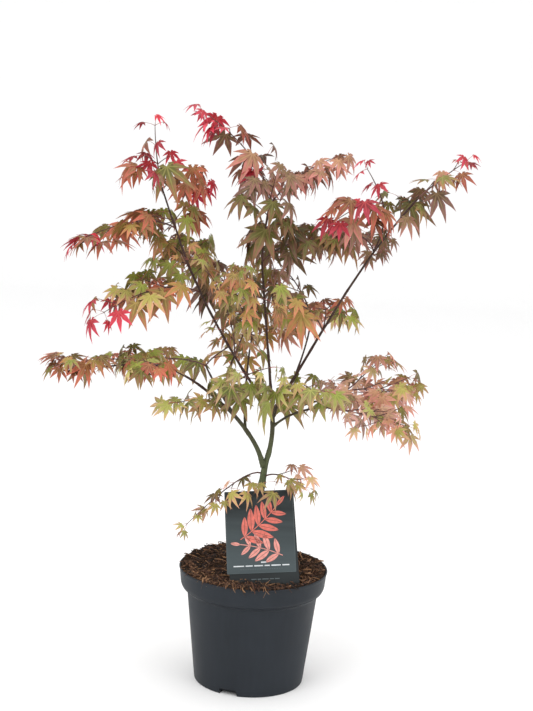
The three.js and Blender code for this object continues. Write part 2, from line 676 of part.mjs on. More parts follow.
// One shoot: twigs and leaves in opposite pairs along it, each pair turned from the last
function growPairs(mass, shoot, options) {
  const { random } = options;
  const { rings, pairs, roots } = shoot;
  const jitter = (width) => (random() * 2 - 1) * width;
  roots.forEach((root, index) => {
    const along = rings[index + 1].clone().sub(rings[index]).normalize();
    const level = new THREE.Vector3().crossVectors(along, UP);
    if (level.lengthSq() < 0.06) level.set(Math.cos(mass.facing), Math.sin(mass.facing), 0);
    level.normalize();
    const across = new THREE.Vector3().crossVectors(level, along);
    const crossed = index % 2 ? 90 * (1 - mass.flat) : 0;
    const turn = (crossed + jitter(PAIR_SPREAD)) * DEGREE;
    const share = pairs[index];
    const size = options.size * (1 - options.shrink * share * share);
    for (const side of [-1, 1]) {
      const outward = level.clone().multiplyScalar(side * Math.cos(turn))
        .addScaledVector(across, side * Math.sin(turn));
      const wantsTwig = options.depth > 0 && share < LAST_TWIG_PLACE && random() < TWIG_SHARE;
      const grown = wantsTwig && growTwig(mass, root, along, outward, share, size, options);
      if (!grown) growLeaf(mass, root, along, outward, size, options);
    }
  });
  if (options.depth === 0) return;
  const last = rings[rings.length - 1];
  const ahead = last.clone().sub(rings[rings.length - 2]).normalize();
  const root = last.clone().addScaledVector(ahead, -LAST_PAIR_BACK / 2);
  growLeaf(mass, root, ahead, ahead, options.size * (1 - options.shrink), options);
}

function growTwig(mass, point, along, outward, share, size, options) {
  const { random, masses } = options;
  const length = mass.twig * taper(TWIG_LENGTHS)(share) * taper(TWIG_LENGTH_SPREAD)(random());
  const heading = along.clone().multiplyScalar(TWIG_FORWARD).add(outward).addScaledVector(UP, TWIG_RISE);
  heading.normalize();
  const end = point.clone().addScaledVector(heading, length);
  const probe = pointsBetween(point, end, TWIG_STEP).slice(1);
  if (!probe.every((place) => inOwnSpace(place, mass, masses))) return false;
  const shoot = layShoot(new THREE.LineCurve3(point, end));
  options.twigs.push(shoot.rings);
  growPairs(mass, shoot, { ...options, depth: options.depth - 1, size, shrink: 0 });
  return true;
}

function growLeaf(mass, point, along, outward, fullSize, options) {
  const { random, masses, leaves } = options;
  const jitter = (width) => (random() * 2 - 1) * width;
  const firstSize = fullSize * taper(LEAF_SIZE_SPREAD)(random());
  for (let attempt = 0; attempt < TRIES; attempt += 1) {
    const size = firstSize * RETRY_SHRINK ** attempt;
    const stalk = outward.clone().addScaledVector(along, STALK_FORWARD).addScaledVector(UP, STALK_RISE);
    stalk.add(new THREE.Vector3(...STALK_SPREAD.map(jitter))).normalize();
    const reach = THREE.MathUtils.lerp(...STALK_LENGTH, random()) * size / mass.leaf;
    const heading = Math.atan2(stalk.y, stalk.x) + jitter(HEADING_SPREAD) * DEGREE;
    const droop = (mass.droop + jitter(DROOP_SPREAD)) * DEGREE;
    const roll = jitter(ROLL_SPREAD) * DEGREE;
    const leaf = leafAt(point, stalk, reach, heading, droop, roll, size);
    if (stalk.dot(leaf.forward) < STALK_FROM_BEHIND) continue;
    const { blade, stalkPoints } = leafPoints(leaf);
    if (!blade.every((place) => clearOfOwn(place, mass, options))) continue;
    if ([...blade, ...stalkPoints].every((place) => inOwnSpace(place, mass, masses))) {
      leaves.push(leaf);
      return true;
    }
  }
  return false;
}

function layOutMass(spec, index) {
  const end = vector(spec.end);
  const start = startOn(spec.from, end);
  const limb = limbs.get(spec.from[0]);
  const along = limb.curve.getTangentAt(spec.from[1]);
  const length = start.distanceTo(end);
  const straight = end.clone().sub(start);
  const bow = along.multiplyScalar(STEM_BOW * length).addScaledVector(straight, -STEM_BOW);
  const curve = bowedCurve(start, end, bow);
  const facing = index * FIRST_DIRECTION_TURN * DEGREE;
  const reach = REACH_TWIGS * spec.twig + spec.leaf + STALK_LENGTH[1];
  const shoot = layShoot(curve);
  return { ...spec, shoot, path: shoot.rings, facing, reach };
}

// The twigs and leaves of a mass, laid out before any solid is made
function growMass(mass, masses) {
  const leaves = [];
  const twigs = [];
  const random = seededRandom(mass.seed);
  const options = { random, masses, leaves, twigs, depth: 1, size: mass.leaf, shrink: TIP_SHRINK };
  growPairs(mass, mass.shoot, options);
  return { leaves, twigs };
}

function makeMass(mass, masses) {
  const { leaves, twigs } = growMass(mass, masses);
  const parts = [tube(mass.path, taper(STEM_RADII), TWIG_SIDES + 1)];
  for (const twig of twigs) parts.push(tube(twig, () => SIDE_TWIG_RADIUS, TWIG_SIDES));
  for (const leaf of leaves) parts.push(leafSolid(leaf));
  let solid = wasm.Manifold.union(parts);
  for (const limb of limbs.values()) solid = solid.subtract(limb.swollen);
  for (const other of masses) {
    if (other.swollen && other !== mass) solid = solid.subtract(other.swollen);
  }
  mass.swollen = tube(mass.path, taper(STEM_RADII), TWIG_SIDES + 1, GAP);
  solids.set(mass.name, largestPiece(solid.asOriginal().simplify(FUSED_DETAIL)));
}

// Assembly

const maple = new THREE.Group();

function addMesh(name, solid, material) {
  const mesh = new THREE.Mesh(geometryFrom(solid), material);
  mesh.name = name;
  maple.add(mesh);
}

function addPotAndLabel() {
  addMesh('pot', makePot(), finish(0x2f3338, 0.55));
  const rearSlot = card(-REAR_CARD_ROOT, CARD_TOP, REAR_CARD_DEPTH, GAP);
  const soil = makeSoil().subtract(rearSlot).subtract(limbs.get('trunk').swollen);
  addMesh('compost', soil, finish(0x4a2f22, 0.95));
  addMesh('label_front_card', card(FRONT_CARD_LIFT, CARD_TOP, 0), finish(0x3a4347, 0.4));
  const rear = card(-REAR_CARD_ROOT, CARD_TOP, REAR_CARD_DEPTH);
  addMesh('label_rear_card', rear, finish(0x2a3033, 0.4));
}

function addPlant() {
  for (const limb of limbs.values()) limb.path = samples(limb.curve, PATH_STEPS);
  const masses = MASSES.map(layOutMass);
  for (const mass of masses) makeMass(mass, masses);
  for (const spec of LIMBS) {
    const bark = spec.name.startsWith('bough') ? 0x4a3a34 : 0x5d6448;
    addMesh(spec.name, solids.get(spec.name), finish(bark, 0.75));
  }
  for (const mass of masses) {
    const colour = LEAF_COLOURS[mass.name] ?? PLAIN_LEAF_COLOUR;
    addMesh(mass.name, solids.get(mass.name), finish(colour, 0.6));
  }
}

makeLimbs();
addPotAndLabel();
addPlant();

export default maple;
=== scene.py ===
"""A young maple in a round nursery pot, built round its frame.

The limbs, twigs and leaves grow from named sizes by one seeded rule. Lengths in the tables and in the
growth rule are millimetres; a finished piece is in metres, in the frame's own place.
"""

import math

import bpy
import numpy as np
from bpy.props import FloatProperty, FloatVectorProperty, IntProperty, PointerProperty
from mathutils import Matrix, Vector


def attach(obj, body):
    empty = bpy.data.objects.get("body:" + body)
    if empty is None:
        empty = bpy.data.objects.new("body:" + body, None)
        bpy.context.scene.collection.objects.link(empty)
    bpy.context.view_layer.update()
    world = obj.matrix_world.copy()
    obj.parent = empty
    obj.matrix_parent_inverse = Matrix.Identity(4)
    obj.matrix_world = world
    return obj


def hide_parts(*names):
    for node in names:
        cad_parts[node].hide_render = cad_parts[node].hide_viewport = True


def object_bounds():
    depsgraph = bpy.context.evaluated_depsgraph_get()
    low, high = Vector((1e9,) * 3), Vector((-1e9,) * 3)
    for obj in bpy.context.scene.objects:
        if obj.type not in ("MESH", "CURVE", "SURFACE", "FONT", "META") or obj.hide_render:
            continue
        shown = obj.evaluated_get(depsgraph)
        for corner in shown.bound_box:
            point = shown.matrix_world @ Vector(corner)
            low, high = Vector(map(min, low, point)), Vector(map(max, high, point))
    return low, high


bl_info = {
    "name": "Potted Maple",
    "version": (1, 0, 0),
    "blender": (4, 5, 0),
    "location": "3D View > Sidebar > Maple",
    "description": "Builds a young maple, its nursery pot, compost and label round its frame",
    "category": "Add Mesh",
}

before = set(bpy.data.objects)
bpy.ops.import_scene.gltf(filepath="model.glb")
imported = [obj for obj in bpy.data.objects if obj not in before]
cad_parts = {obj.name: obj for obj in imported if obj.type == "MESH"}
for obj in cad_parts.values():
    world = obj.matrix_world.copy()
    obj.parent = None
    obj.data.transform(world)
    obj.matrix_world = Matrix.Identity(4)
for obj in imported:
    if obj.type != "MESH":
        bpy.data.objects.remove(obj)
FRAME_BOUNDS = [list(corner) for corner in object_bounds()]
BODY = "root"
MM = 0.001
UP = np.array([0.0, 0.0, 1.0])

# Where the picture is taken from, and how far a leaf may go past the frame's box, in millimetres
EYE = np.array([4.9, -2417.0, 987.0])
PAST_FRAME = 7.0

# Limbs: name, parent, share of the parent's length, tip, bow of the middle, radii at start and tip
LIMBS = [
    ("trunk", None, 0, (11, 0, 383), (-3, 4, 0), (6.4, 5.2)),
    ("stem_left", "trunk", 1, (-60, -12, 488), (11, 0, 0), (3.8, 3.2)),
    ("stem_right", "trunk", 1, (19, 4, 480), (6, 0, 0), (4, 3.6)),
    ("bough_left_low_inner", "stem_left", 1, (-171, -35, 559), (0, 0, 9), (2.6, 2.2)),
    ("bough_left_low_outer", "bough_left_low_inner", 1, (-268, -50, 554), (0, 0, 3), (2.2, 1.8)),
    ("bough_upright_left", "stem_left", 1, (-48, -45, 584), (-8, 0, 0), (2.2, 1.8)),
    ("bough_upright_back", "stem_left", 0.62, (-22, 70, 602), (-4, 8, 0), (2.3, 1.8)),
    ("bough_long_left_lower", "stem_right", 1, (-112, -20, 685), (-6, 0, 0), (3, 2.6)),
    ("bough_long_left_middle", "bough_long_left_lower", 1, (-156, -35, 792), (-3, 0, 0), (2.5, 2.2)),
    ("bough_long_left_upper", "bough_long_left_middle", 1, (-183, -45, 864), (0, 0, 0), (2.1, 1.8)),
    ("bough_centre_lower", "stem_right", 1, (-11, 25, 736), (0, 0, 0), (3, 2.5)),
    ("bough_centre_upper", "bough_centre_lower", 1, (1, 30, 839), (-4, 0, 0), (2.3, 1.9)),
    ("bough_right_lower", "stem_right", 1, (98, -10, 629), (2, 0, 2), (3.1, 2.8)),
    ("bough_right_middle", "bough_right_lower", 1, (177, -10, 766), (-2, 0, 0), (2.7, 2.4)),
    ("bough_right_upper", "bough_right_middle", 1, (246, 0, 859), (-2, 0, 0), (2.2, 1.8)),
    ("bough_right_inner", "bough_right_middle", 1, (186, -40, 848), (7, 0, 0), (2, 1.7)),
    ("bough_right_low_front", "stem_right", 0.75, (112, -70, 507), (-4, 2, 8), (2.2, 1.8)),
    ("bough_right_low_back", "stem_right", 0.98, (146, 60, 512), (0, 0, -3), (2.2, 1.8)),
    ("bough_back_left", "stem_left", 0.82, (-105, 150, 530), (-6, 6, 4), (2.4, 1.8)),
    ("bough_back_right", "stem_right", 0.9, (84, 150, 626), (8, 10, -8), (2.5, 1.8)),
]

# Girth: what the limbs' taper is multiplied by, as height and factor
GIRTH = [(200, 1.0), (383, 1.16), (470, 1.0), (580, 0.74)]

# Runs: limbs that follow one another as one unbroken length of bark
RUNS = {
    "trunk_and_stems": [
        ["trunk", "stem_right", "bough_centre_lower", "bough_centre_upper"],
        ["stem_left", "bough_left_low_inner", "bough_left_low_outer"],
    ],
    "boughs": [
        ["bough_long_left_lower", "bough_long_left_middle", "bough_long_left_upper"],
        ["bough_right_lower", "bough_right_middle", "bough_right_upper"],
        ["bough_right_inner"],
        ["bough_upright_left"],
        ["bough_upright_back"],
        ["bough_right_low_front"],
        ["bough_right_low_back"],
        ["bough_back_left"],
        ["bough_back_right"],
    ],
}

# Limbs that show from the front, so that no leaf hangs before them above SHOWN_FROM
SHOWN = ["bough_long_left_lower", "bough_long_left_middle", "bough_centre_lower", "bough_right_lower",
         "bough_right_middle"]
SHOWN_FROM = 525.0
SHOWN_GAP = 6.0

# Masses: name after mass_, limb, share of its length, end of the stem, leaf, twig, flat, droop, roll,
# seed, sprays. leaf and twig are lengths, flat is 1 where the pairs lie level and 0 where they cross,
# droop tilts the blades down, roll is how far they lie over to either side, and sprays names the tints
# dealt out along the mass and at its tip.
MASSES = [
    ("top_left", "bough_long_left_upper", 1, (-195, -52, 960), 51, 30, 0.2, 31, 36, 399, "crimson_tip"),
    ("top_left_side", "bough_long_left_upper", 1, (-191, -92, 889), 66, 33, 0.5, 37, 36, 247, "red_bronze"),
    ("top_left_back", "bough_long_left_upper", 1, (-121, 30, 858), 65, 29, 0.5, 68, 36, 775, "red_bronze"),
    ("upper_left_side", "bough_long_left_middle", 1, (-308, -70, 768), 66, 39, 0.9, 26, 36, 542, "amber"),
    ("upper_left_inner", "bough_long_left_middle", 1, (-158, 62, 792), 66, 41, 0.6, 53, 36, 828, "rusty"),
    ("left_middle", "bough_long_left_lower", 1, (-266, -98, 652), 65, 47, 0.8, 59, 36, 360, "tan_crimson"),
    ("left_middle_back", "bough_long_left_lower", 1, (-159, 70, 755), 63, 55, 0.8, 68, 36, 966, "warm"),
    ("left_low_end", "bough_left_low_outer", 1, (-343, -62, 565), 54, 38, 0.9, 17, 36, 32, "rusty"),
    ("left_low_middle", "bough_left_low_inner", 1, (-293, 40, 551), 52, 35, 0.9, 45, 36, 608, "olive"),
    ("left_low_front", "bough_left_low_inner", 1, (-173, -132, 574), 60, 34, 0.9, 51, 36, 789, "olive"),
    ("left_lower", "stem_left", 1, (-144, -66, 502), 54, 32, 0.9, 33, 78, 649, "yellow_olive"),
    ("left_centre", "bough_upright_left", 1, (-129, -84, 769), 46, 24, 0.3, 21, 36, 794, "warm"),
    ("left_centre_front", "bough_upright_left", 1, (-19, -178, 717), 59, 55, 0.6, 68, 36, 137, "warm"),
    ("left_centre_back", "bough_upright_back", 1, (-163, 160, 751), 66, 28, 0.5, 59, 36, 566, "bronze"),
    ("centre_left", "bough_centre_lower", 1, (8, -46, 892), 66, 40, 0.5, 62, 36, 157, "bronze"),
    ("centre_right", "bough_centre_lower", 1, (186, 104, 766), 63, 49, 0.6, 58, 36, 327, "bronze"),
    ("top_arch", "bough_centre_upper", 1, (-120, 18, 984), 70, 29, 0.4, 30, 36, 66, "rose_arch"),
    ("centre_top", "bough_centre_upper", 1, (105, 24, 919), 57, 39, 0.6, 56, 36, 828, "dusty_rose"),
    ("right_middle_inner", "bough_right_lower", 1, (-77, -96, 711), 56, 40, 0.7, 53, 36, 196, "warm"),
    ("right_middle_outer", "bough_right_lower", 1, (100, 56, 666), 50, 32, 0.7, 60, 36, 545, "rusty"),
    ("right_under", "bough_right_middle", 1, (80, 70, 800), 52, 41, 0.8, 46, 36, 727, "bronze"),
    ("right_dark", "bough_right_upper", 0.35, (277, 34, 888), 65, 56, 0.7, 45, 36, 431, "bronze"),
    ("right_top", "bough_right_upper", 1, (322, -8, 924), 48, 34, 0.5, 27, 36, 705, "red_tip"),
    ("right_inner_top", "bough_right_inner", 1, (154, -52, 906), 50, 22, 0.4, 39, 36, 192, "crimson"),
    ("right_inner_left", "bough_right_inner", 1, (111, -66, 822), 61, 34, 0.7, 45, 36, 320, "rose_crimson"),
    ("centre_low_left", "stem_left", 1, (12, -146, 584), 58, 27, 0.9, 68, 78, 486, "yellow_olive"),
    ("centre_low_right", "stem_right", 1, (103, -140, 548), 67, 49, 0.9, 45, 78, 809, "yellow_olive"),
    ("right_low_front", "bough_right_low_front", 1, (242, -122, 493), 49, 53, 0.9, 54, 78, 826, "pinkish"),
    ("right_low_far", "bough_right_low_back", 1, (231, 20, 525), 62, 61, 0.9, 62, 80, 394, "pink_tan"),
    ("right_low_back", "bough_right_low_back", 1, (183, 164, 534), 52, 55, 0.8, 22, 70, 724, "pink_tan"),
    ("back_left_outer", "bough_back_left", 1, (-239, 216, 523), 62, 41, 0.8, 68, 36, 148, "warm"),
    ("back_left_inner", "bough_back_left", 1, (40, 250, 598), 51, 45, 0.7, 47, 36, 570, "warm"),
    ("back_right_outer", "bough_back_right", 1, (51, 226, 604), 62, 38, 0.7, 68, 36, 394, "pinkish"),
    ("back_right_inner", "bough_back_right", 1, (-30, 226, 754), 53, 56, 0.6, 59, 36, 290, "bronze"),
    ("low_left", "trunk", 0.93, (-118, -40, 285), 36, 24, 0.9, 48, 60, 206, "low_pink"),
    ("low_right", "trunk", 0.9, (82, -50, 362), 40, 30, 0.8, 47, 60, 46, "low_pink"),
]

# Sprays: the record's slot after leaves_, the tints along the mass, and the tint at its tip
SPRAYS = {
    "crimson_tip": ("crimson", ["crimson", "dusty_rose", "crimson"], "crimson"),
    "red_bronze": ("crimson", ["rust", "dusty_rose", "rust", "olive_brown"], "crimson"),
    "crimson": ("crimson", ["crimson", "rose_pink", "crimson"], "crimson"),
    "rose_crimson": ("crimson", ["rose_pink", "dusty_rose", "crimson", "rust"], "crimson"),
    "amber": ("orange_tan", ["orange_tan", "olive_brown", "rust", "orange_tan"], "crimson"),
    "tan_crimson": ("olive", ["tan", "orange_tan", "olive", "orange_red"], "crimson"),
    "bronze": ("dark_bronze", ["dark_bronze", "olive_brown", "dark_bronze", "mauve_brown"], "mauve_brown"),
    "rose_arch": ("dusty_rose", ["dusty_rose", "rust", "mauve_brown"], "crimson"),
    "dusty_rose": ("dusty_rose", ["dusty_rose", "mauve_brown", "dusty_rose"], "rose_pink"),
    "red_tip": ("dusty_rose", ["olive_brown", "rust", "dusty_rose", "dark_bronze"], "crimson"),
    "olive": ("olive", ["olive", "olive_brown", "yellow_olive", "olive"], "orange_red"),
    "warm": ("olive", ["olive", "orange_tan", "olive", "tan"], "orange_tan"),
    "yellow_olive": ("olive", ["yellow_olive", "olive", "fresh_green", "tan"], "yellow_olive"),
    "pinkish": ("pink_tan", ["pink_tan", "yellow_olive", "rose_pink", "pale_pink"], "tan"),
    "pink_tan": ("pink_tan", ["pink_tan", "pale_pink", "tan", "rose_pink"], "pink_tan"),
    "low_pink": ("pink_tan", ["pale_pink", "tan", "pink_tan"], "yellow_olive"),
    "rusty": ("orange_tan", ["olive_brown", "orange_tan", "olive", "rust"], "rust"),
}

# Tints: a leaf's colour at its joint and at the ends of its lobes
TINTS = {
    "crimson": ((0.62, 0.13, 0.18), (0.76, 0.24, 0.32)),
    "rose_pink": ((0.64, 0.47, 0.36), (0.82, 0.54, 0.51)),
    "orange_red": ((0.58, 0.35, 0.23), (0.75, 0.36, 0.31)),
    "rust": ((0.46, 0.29, 0.17), (0.67, 0.34, 0.27)),
    "dusty_rose": ((0.53, 0.39, 0.29), (0.71, 0.44, 0.41)),
    "mauve_brown": ((0.43, 0.34, 0.24), (0.61, 0.41, 0.38)),
    "dark_bronze": ((0.31, 0.30, 0.13), (0.48, 0.33, 0.25)),
    "olive_brown": ((0.40, 0.39, 0.17), (0.60, 0.41, 0.28)),
    "olive": ((0.47, 0.50, 0.20), (0.64, 0.50, 0.37)),
    "yellow_olive": ((0.60, 0.61, 0.32), (0.76, 0.61, 0.48)),
    "fresh_green": ((0.52, 0.56, 0.26), (0.68, 0.59, 0.42)),
    "tan": ((0.56, 0.53, 0.27), (0.74, 0.54, 0.43)),
    "orange_tan": ((0.54, 0.45, 0.23), (0.73, 0.45, 0.34)),
    "pink_tan": ((0.63, 0.56, 0.38), (0.83, 0.60, 0.55)),
    "pale_pink": ((0.70, 0.55, 0.45), (0.82, 0.61, 0.58)),
}

# What a leaf's own colour is mixed with along its ribs
RIB_TINT = (0.82, 0.72, 0.52)


# Settings


def size(name, description, default):
    """A length in millimetres."""
    return FloatProperty(name=name, description=description, default=default, min=0.0, max=1000.0)


def metres(name, description, default):
    """A length in metres."""
    return FloatProperty(name=name, description=description, default=default, unit="LENGTH")


def degrees(name, description, default):
    """An angle whose default is given in degrees."""
    radians = math.radians(default)
    return FloatProperty(name=name, description=description, default=radians, subtype="ANGLE")


def watts(name, description, default):
    """The power of a light."""
    return FloatProperty(name=name, description=description, default=default, unit="POWER")


def share(name, description, default, high=1.0):
    """A plain factor."""
    return FloatProperty(name=name, description=description, default=default, min=0.0, max=high,
                         subtype="FACTOR")


def colour(name, description, default):
    """A colour as it looks on the screen."""
    return FloatVectorProperty(name=name, description=description, default=default, min=0.0, max=1.0,
                               subtype="COLOR_GAMMA")


class MaplePotSettings(bpy.types.PropertyGroup):
    """Sizes and finish of the nursery pot."""

    height: size("Height", "Height of the pot, in millimetres", 203.0)
    rim_radius: size("Rim radius", "Outer radius of the rim, in millimetres", 130.0)
    collar_radius: size("Collar radius", "Outer radius of the collar's top, in millimetres", 128.6)
    collar_foot: size("Collar foot", "Height of the collar's lower edge, in millimetres", 168.5)
    shoulder_radius: size("Shoulder radius", "Radius of the wall under the collar, in millimetres", 115.5)
    foot_radius: size("Foot radius", "Radius at the foot, in millimetres", 96.5)
    wall: size("Wall", "Thickness of the wall, in millimetres", 2.2)
    notch_width: size("Notch width", "Width of a drain notch at the foot, in millimetres", 34.0)
    notch_height: size("Notch height", "Height of a drain notch, in millimetres", 9.0)
    notch_turn: degrees("Notch turn", "Angle of the first notch", -110.6)
    plastic: colour("Plastic", "Colour of the plastic", (0.142, 0.158, 0.178))


class MapleCompostSettings(bpy.types.PropertyGroup):
    """Shape and colours of the compost."""

    edge_level: size("Edge level", "Height of the compost at the wall, in millimetres", 198.0)
    mound: size("Mound", "Height of the mound, in millimetres", 14.0)
    clump: size("Clumps", "Height of the clumps, in millimetres", 3.8)
    brim: size("Brim", "How far the compost rises against the wall, in millimetres", 3.0)
    reach: size("Reach", "Radius of the compost at the top, in millimetres", 125.8)
    fibres: IntProperty(name="Fibres", description="Number of loose fibres", default=3600, min=0)
    chips: IntProperty(name="Chips", description="Number of loose crumbs", default=1500, min=0)
    soil: colour("Compost", "Colour of the compost", (0.15, 0.10, 0.072))
    straw: colour("Straw", "Colour of the palest fibres", (0.62, 0.46, 0.32))


class MapleLabelSettings(bpy.types.PropertyGroup):
    """Sizes and colours of the plant label."""

    width: size("Width", "Width of a card, in millimetres", 118.0)
    height: size("Height", "Height of the front card, in millimetres", 140.0)
    thickness: size("Thickness", "Thickness of a card, in millimetres", 0.9)
    lift: size("Lift", "Height of the front card's lower edge over the foot, in millimetres", 18.0)
    root: size("Root", "Depth of the rear card's lower edge under the foot, in millimetres", 8.0)
    top_colour: colour("Card, top", "Colour of the front card at the top", (0.065, 0.078, 0.08))
    low_colour: colour("Card, foot", "Colour of the front card at the foot", (0.27, 0.31, 0.32))
    salmon: colour("Motif", "Colour of the first printed sprig", (0.80, 0.42, 0.37))
    pink: colour("Motif, pale", "Colour of the second, paler sprig", (0.84, 0.56, 0.52))


class MapleLimbSettings(bpy.types.PropertyGroup):
    """Bark of the trunk, stems and boughs."""

    flare: size("Flare", "Widening of the trunk at the ground, in millimetres", 7.5)
    flare_height: size("Flare height", "Height of the flare, in millimetres", 16.0)
    relief: share("Relief", "Depth of the bark's ridges as a share of the radius", 0.06)
    knuckle: share("Knuckles", "Swelling at the old leaf joints as a share of the radius", 0.16)
    young: colour("Lower bark", "Colour of the bark low down", (0.30, 0.34, 0.23))
    dark: colour("Upper bark", "Colour of the bark of the boughs", (0.185, 0.105, 0.105))


class MapleFoliageSettings(bpy.types.PropertyGroup):
    """Growth of twigs and leaves."""

    leaf_scale: share("Leaf size", "Size of the leaves against the masses' leaf length", 0.9, 2.0)
    internode: size("Pair spacing", "Distance between leaf pairs, in millimetres", 28.0)
    twig_share: share("Twigs", "Share of the joints that carry a twig", 0.62)
    stalk_short: size("Shortest stalk", "Shortest leaf stalk, in millimetres", 16.0)
    stalk_long: size("Longest stalk", "Longest leaf stalk, in millimetres", 34.0)
    tip_shrink: share("Young leaves", "How much smaller the leaves are at the tip", 0.42)
    overlap: size("Overlap", "How far a leaf may reach past its mass's space", 12.0)
    apart: size("Apart", "Least distance between two leaf joints of a mass", 14.0)
    stalk: colour("Stalks", "Colour of the leaf stalks", (0.55, 0.27, 0.22))
    twig: colour("Twigs", "Colour of the twigs", (0.30, 0.17, 0.14))


class MapleStageSettings(bpy.types.PropertyGroup):
    """Floor, light and camera."""

    floor: colour("Floor", "Colour of the floor and backdrop", (0.97, 0.97, 0.97))
    key: watts("Key light", "Power of the key light", 30.0)
    fill: watts("Fill light", "Power of the fill light and of the top light", 14.0)
    sky: share("Sky", "Strength of the even light", 1.05, 4.0)
    aside: metres("Camera aside", "From the pot's axis to the camera, across", EYE[0] * MM)
    distance: metres("Camera distance", "From the pot's axis to the camera, in depth", -EYE[1] * MM)
    height: metres("Camera height", "Height of the camera over the floor", EYE[2] * MM)
    lens: FloatProperty(name="Lens", description="Focal length", default=72.56, unit="CAMERA")
    pitch: degrees("Pitch", "How far the camera looks down", 9.59)
    roll: degrees("Roll", "Turn of the camera about its view", 2.8)


# Colours and shader groups


def linear(rgb):
    """Linear colour from a screen colour: ((c + 0.055) / 1.055) ** 2.4, or c / 12.92 when dark."""
    c = np.asarray(rgb[:3], float)
    out = np.where(c > 0.04045, ((c + 0.055) / 1.055) ** 2.4, c / 12.92)
    return (*out.tolist(), 1.0)


def scaled(rgb, factor):
    """A screen colour made lighter or darker."""
    return tuple(min(1.0, value * factor) for value in rgb[:3])


def shade(rgb, factor):
    """The linear colour of a screen colour made lighter or darker."""
    return linear(scaled(rgb, factor))


def feed(tree, node, inputs):
    """Sets a node's inputs, by name or number, each to a value or from an output socket."""
    for key, value in inputs.items():
        if isinstance(value, bpy.types.NodeSocket):
            tree.links.new(value, node.inputs[key])
        else:
            node.inputs[key].default_value = value


def add_node(tree, kind, inputs=None, **settings):
    """A shader node with its settings and its inputs."""
    made = tree.nodes.new(kind)
    for key, value in settings.items():
        setattr(made, key, value)
    feed(tree, made, inputs or {})
    return made


def ranged(tree, value, low=0.0, high=1.0, first=0.0, last=1.0):
    """A value brought from the range low to high into the range first to last."""
    inputs = {"Value": value, "From Min": low, "From Max": high, "To Min": first, "To Max": last}
    return add_node(tree, "ShaderNodeMapRange", inputs).outputs["Result"]


def by_height(tree, low, high):
    """A mask that goes from 0 to 1 between two heights in metres."""
    place = add_node(tree, "ShaderNodeTexCoord")
    split = add_node(tree, "ShaderNodeSeparateXYZ", {0: place.outputs["Object"]})
    return ranged(tree, split.outputs["Z"], low, high)


def start_group(title, inputs, outputs, kind="NodeSocketFloat"):
    """An empty shader group: its inputs by name, each a number or a vector by its default, and its
    outputs, all of one kind. Gives the group, what it is given and where it puts out."""
    group = bpy.data.node_groups.new(title, "ShaderNodeTree")
    for label, default in inputs.items():
        given = "NodeSocketVector" if isinstance(default, tuple) else "NodeSocketFloat"
        socket = group.interface.new_socket(label, in_out="INPUT", socket_type=given)
        socket.default_value = default
    for label in outputs:
        group.interface.new_socket(label, in_out="OUTPUT", socket_type=kind)
    return group, group.nodes.new("NodeGroupInput").outputs, group.nodes.new("NodeGroupOutput")


def stretched_noise(group, given, detail):
    """Noise on the piece's own place, stretched along each axis as the group is told."""
    place = add_node(group, "ShaderNodeTexCoord")
    ways = {0: place.outputs["Object"], 1: given["Stretch"]}
    stretch = add_node(group, "ShaderNodeVectorMath", ways, operation="MULTIPLY")
    inputs = {"Vector": stretch.outputs[0], "Scale": given["Scale"], "Detail": detail}
    return add_node(group, "ShaderNodeTexNoise", inputs).outputs["Fac"]


def soft_patches_group(title):
    """Soft patches: noise on the piece's own place, stretched to the full range from 0 to 1."""
    inputs = {"Scale": 40.0, "Detail": 3.0, "Stretch": (1.0, 1.0, 1.0)}
    group, given, out = start_group(title, inputs, ["Mask"])
    noise = stretched_noise(group, given, given["Detail"])
    feed(group, out, {"Mask": ranged(group, noise, 0.3, 0.7)})
    return group


def fine_relief_group(title):
    """Fine relief: noise as the height of a bump, put out as a normal."""
    inputs = {"Scale": 600.0, "Strength": 0.3, "Depth": 0.0004, "Stretch": (1.0, 1.0, 1.0)}
    group, given, out = start_group(title, inputs, ["Normal"], "NodeSocketVector")
    noise = stretched_noise(group, given, 4.0)
    inputs = {"Strength": given["Strength"], "Distance": given["Depth"], "Height": noise}
    feed(group, out, {"Normal": add_node(group, "ShaderNodeBump", inputs).outputs["Normal"]})
    return group


def leaf_pattern_group(title):
    """A leaf's pattern from its own attributes: Rib is 1 on the rib of a lobe, Margin grows from the
    joint and the ribs to the lobes' edges and ends in soft patches, and Tone differs from leaf to
    leaf at random, partly as the leaves' own tone and partly as painted shade and painted light.
    Margin is noise + 0.42 * across + 0.7 * along, stretched to the range from 0 to 1."""
    inputs = {"Rib Width": 0.24, "Patches": 90.0}
    group, given, out = start_group(title, inputs, ["Rib", "Margin", "Tone"])
    read = {name: add_node(group, "ShaderNodeAttribute", attribute_name=name).outputs["Fac"]
            for name in ("across", "along", "tone")}
    place = add_node(group, "ShaderNodeTexCoord")
    inputs = {"Vector": place.outputs["Object"], "Scale": given["Patches"], "Detail": 2.0}
    reach = add_node(group, "ShaderNodeTexNoise", inputs).outputs["Fac"]
    for name, weight in (("across", 0.42), ("along", 0.7)):
        terms = {0: read[name], 1: weight, 2: reach}
        reach = add_node(group, "ShaderNodeMath", terms, operation="MULTIPLY_ADD").outputs[0]
    feed(group, out, {
        "Rib": ranged(group, read["across"], 0.0, given["Rib Width"], 1.0, 0.0),
        "Margin": ranged(group, reach, 0.78, 1.34),
        "Tone": read["tone"],
    })
    return group


GROUPS = {
    "Soft patches": soft_patches_group,
    "Fine relief": fine_relief_group,
    "Leaf pattern": leaf_pattern_group,
}


def place_group(tree, title, **values):
    """A shader group in a material, with its own values. Its first use builds the group. Gives its
    outputs."""
    group = bpy.data.node_groups.get(title) or GROUPS[title](title)
    return add_node(tree, "ShaderNodeGroup", values, node_tree=group).outputs


def soft_patches(tree, **values):
    """The mask of soft patches in a material."""
    return place_group(tree, "Soft patches", **values)["Mask"]


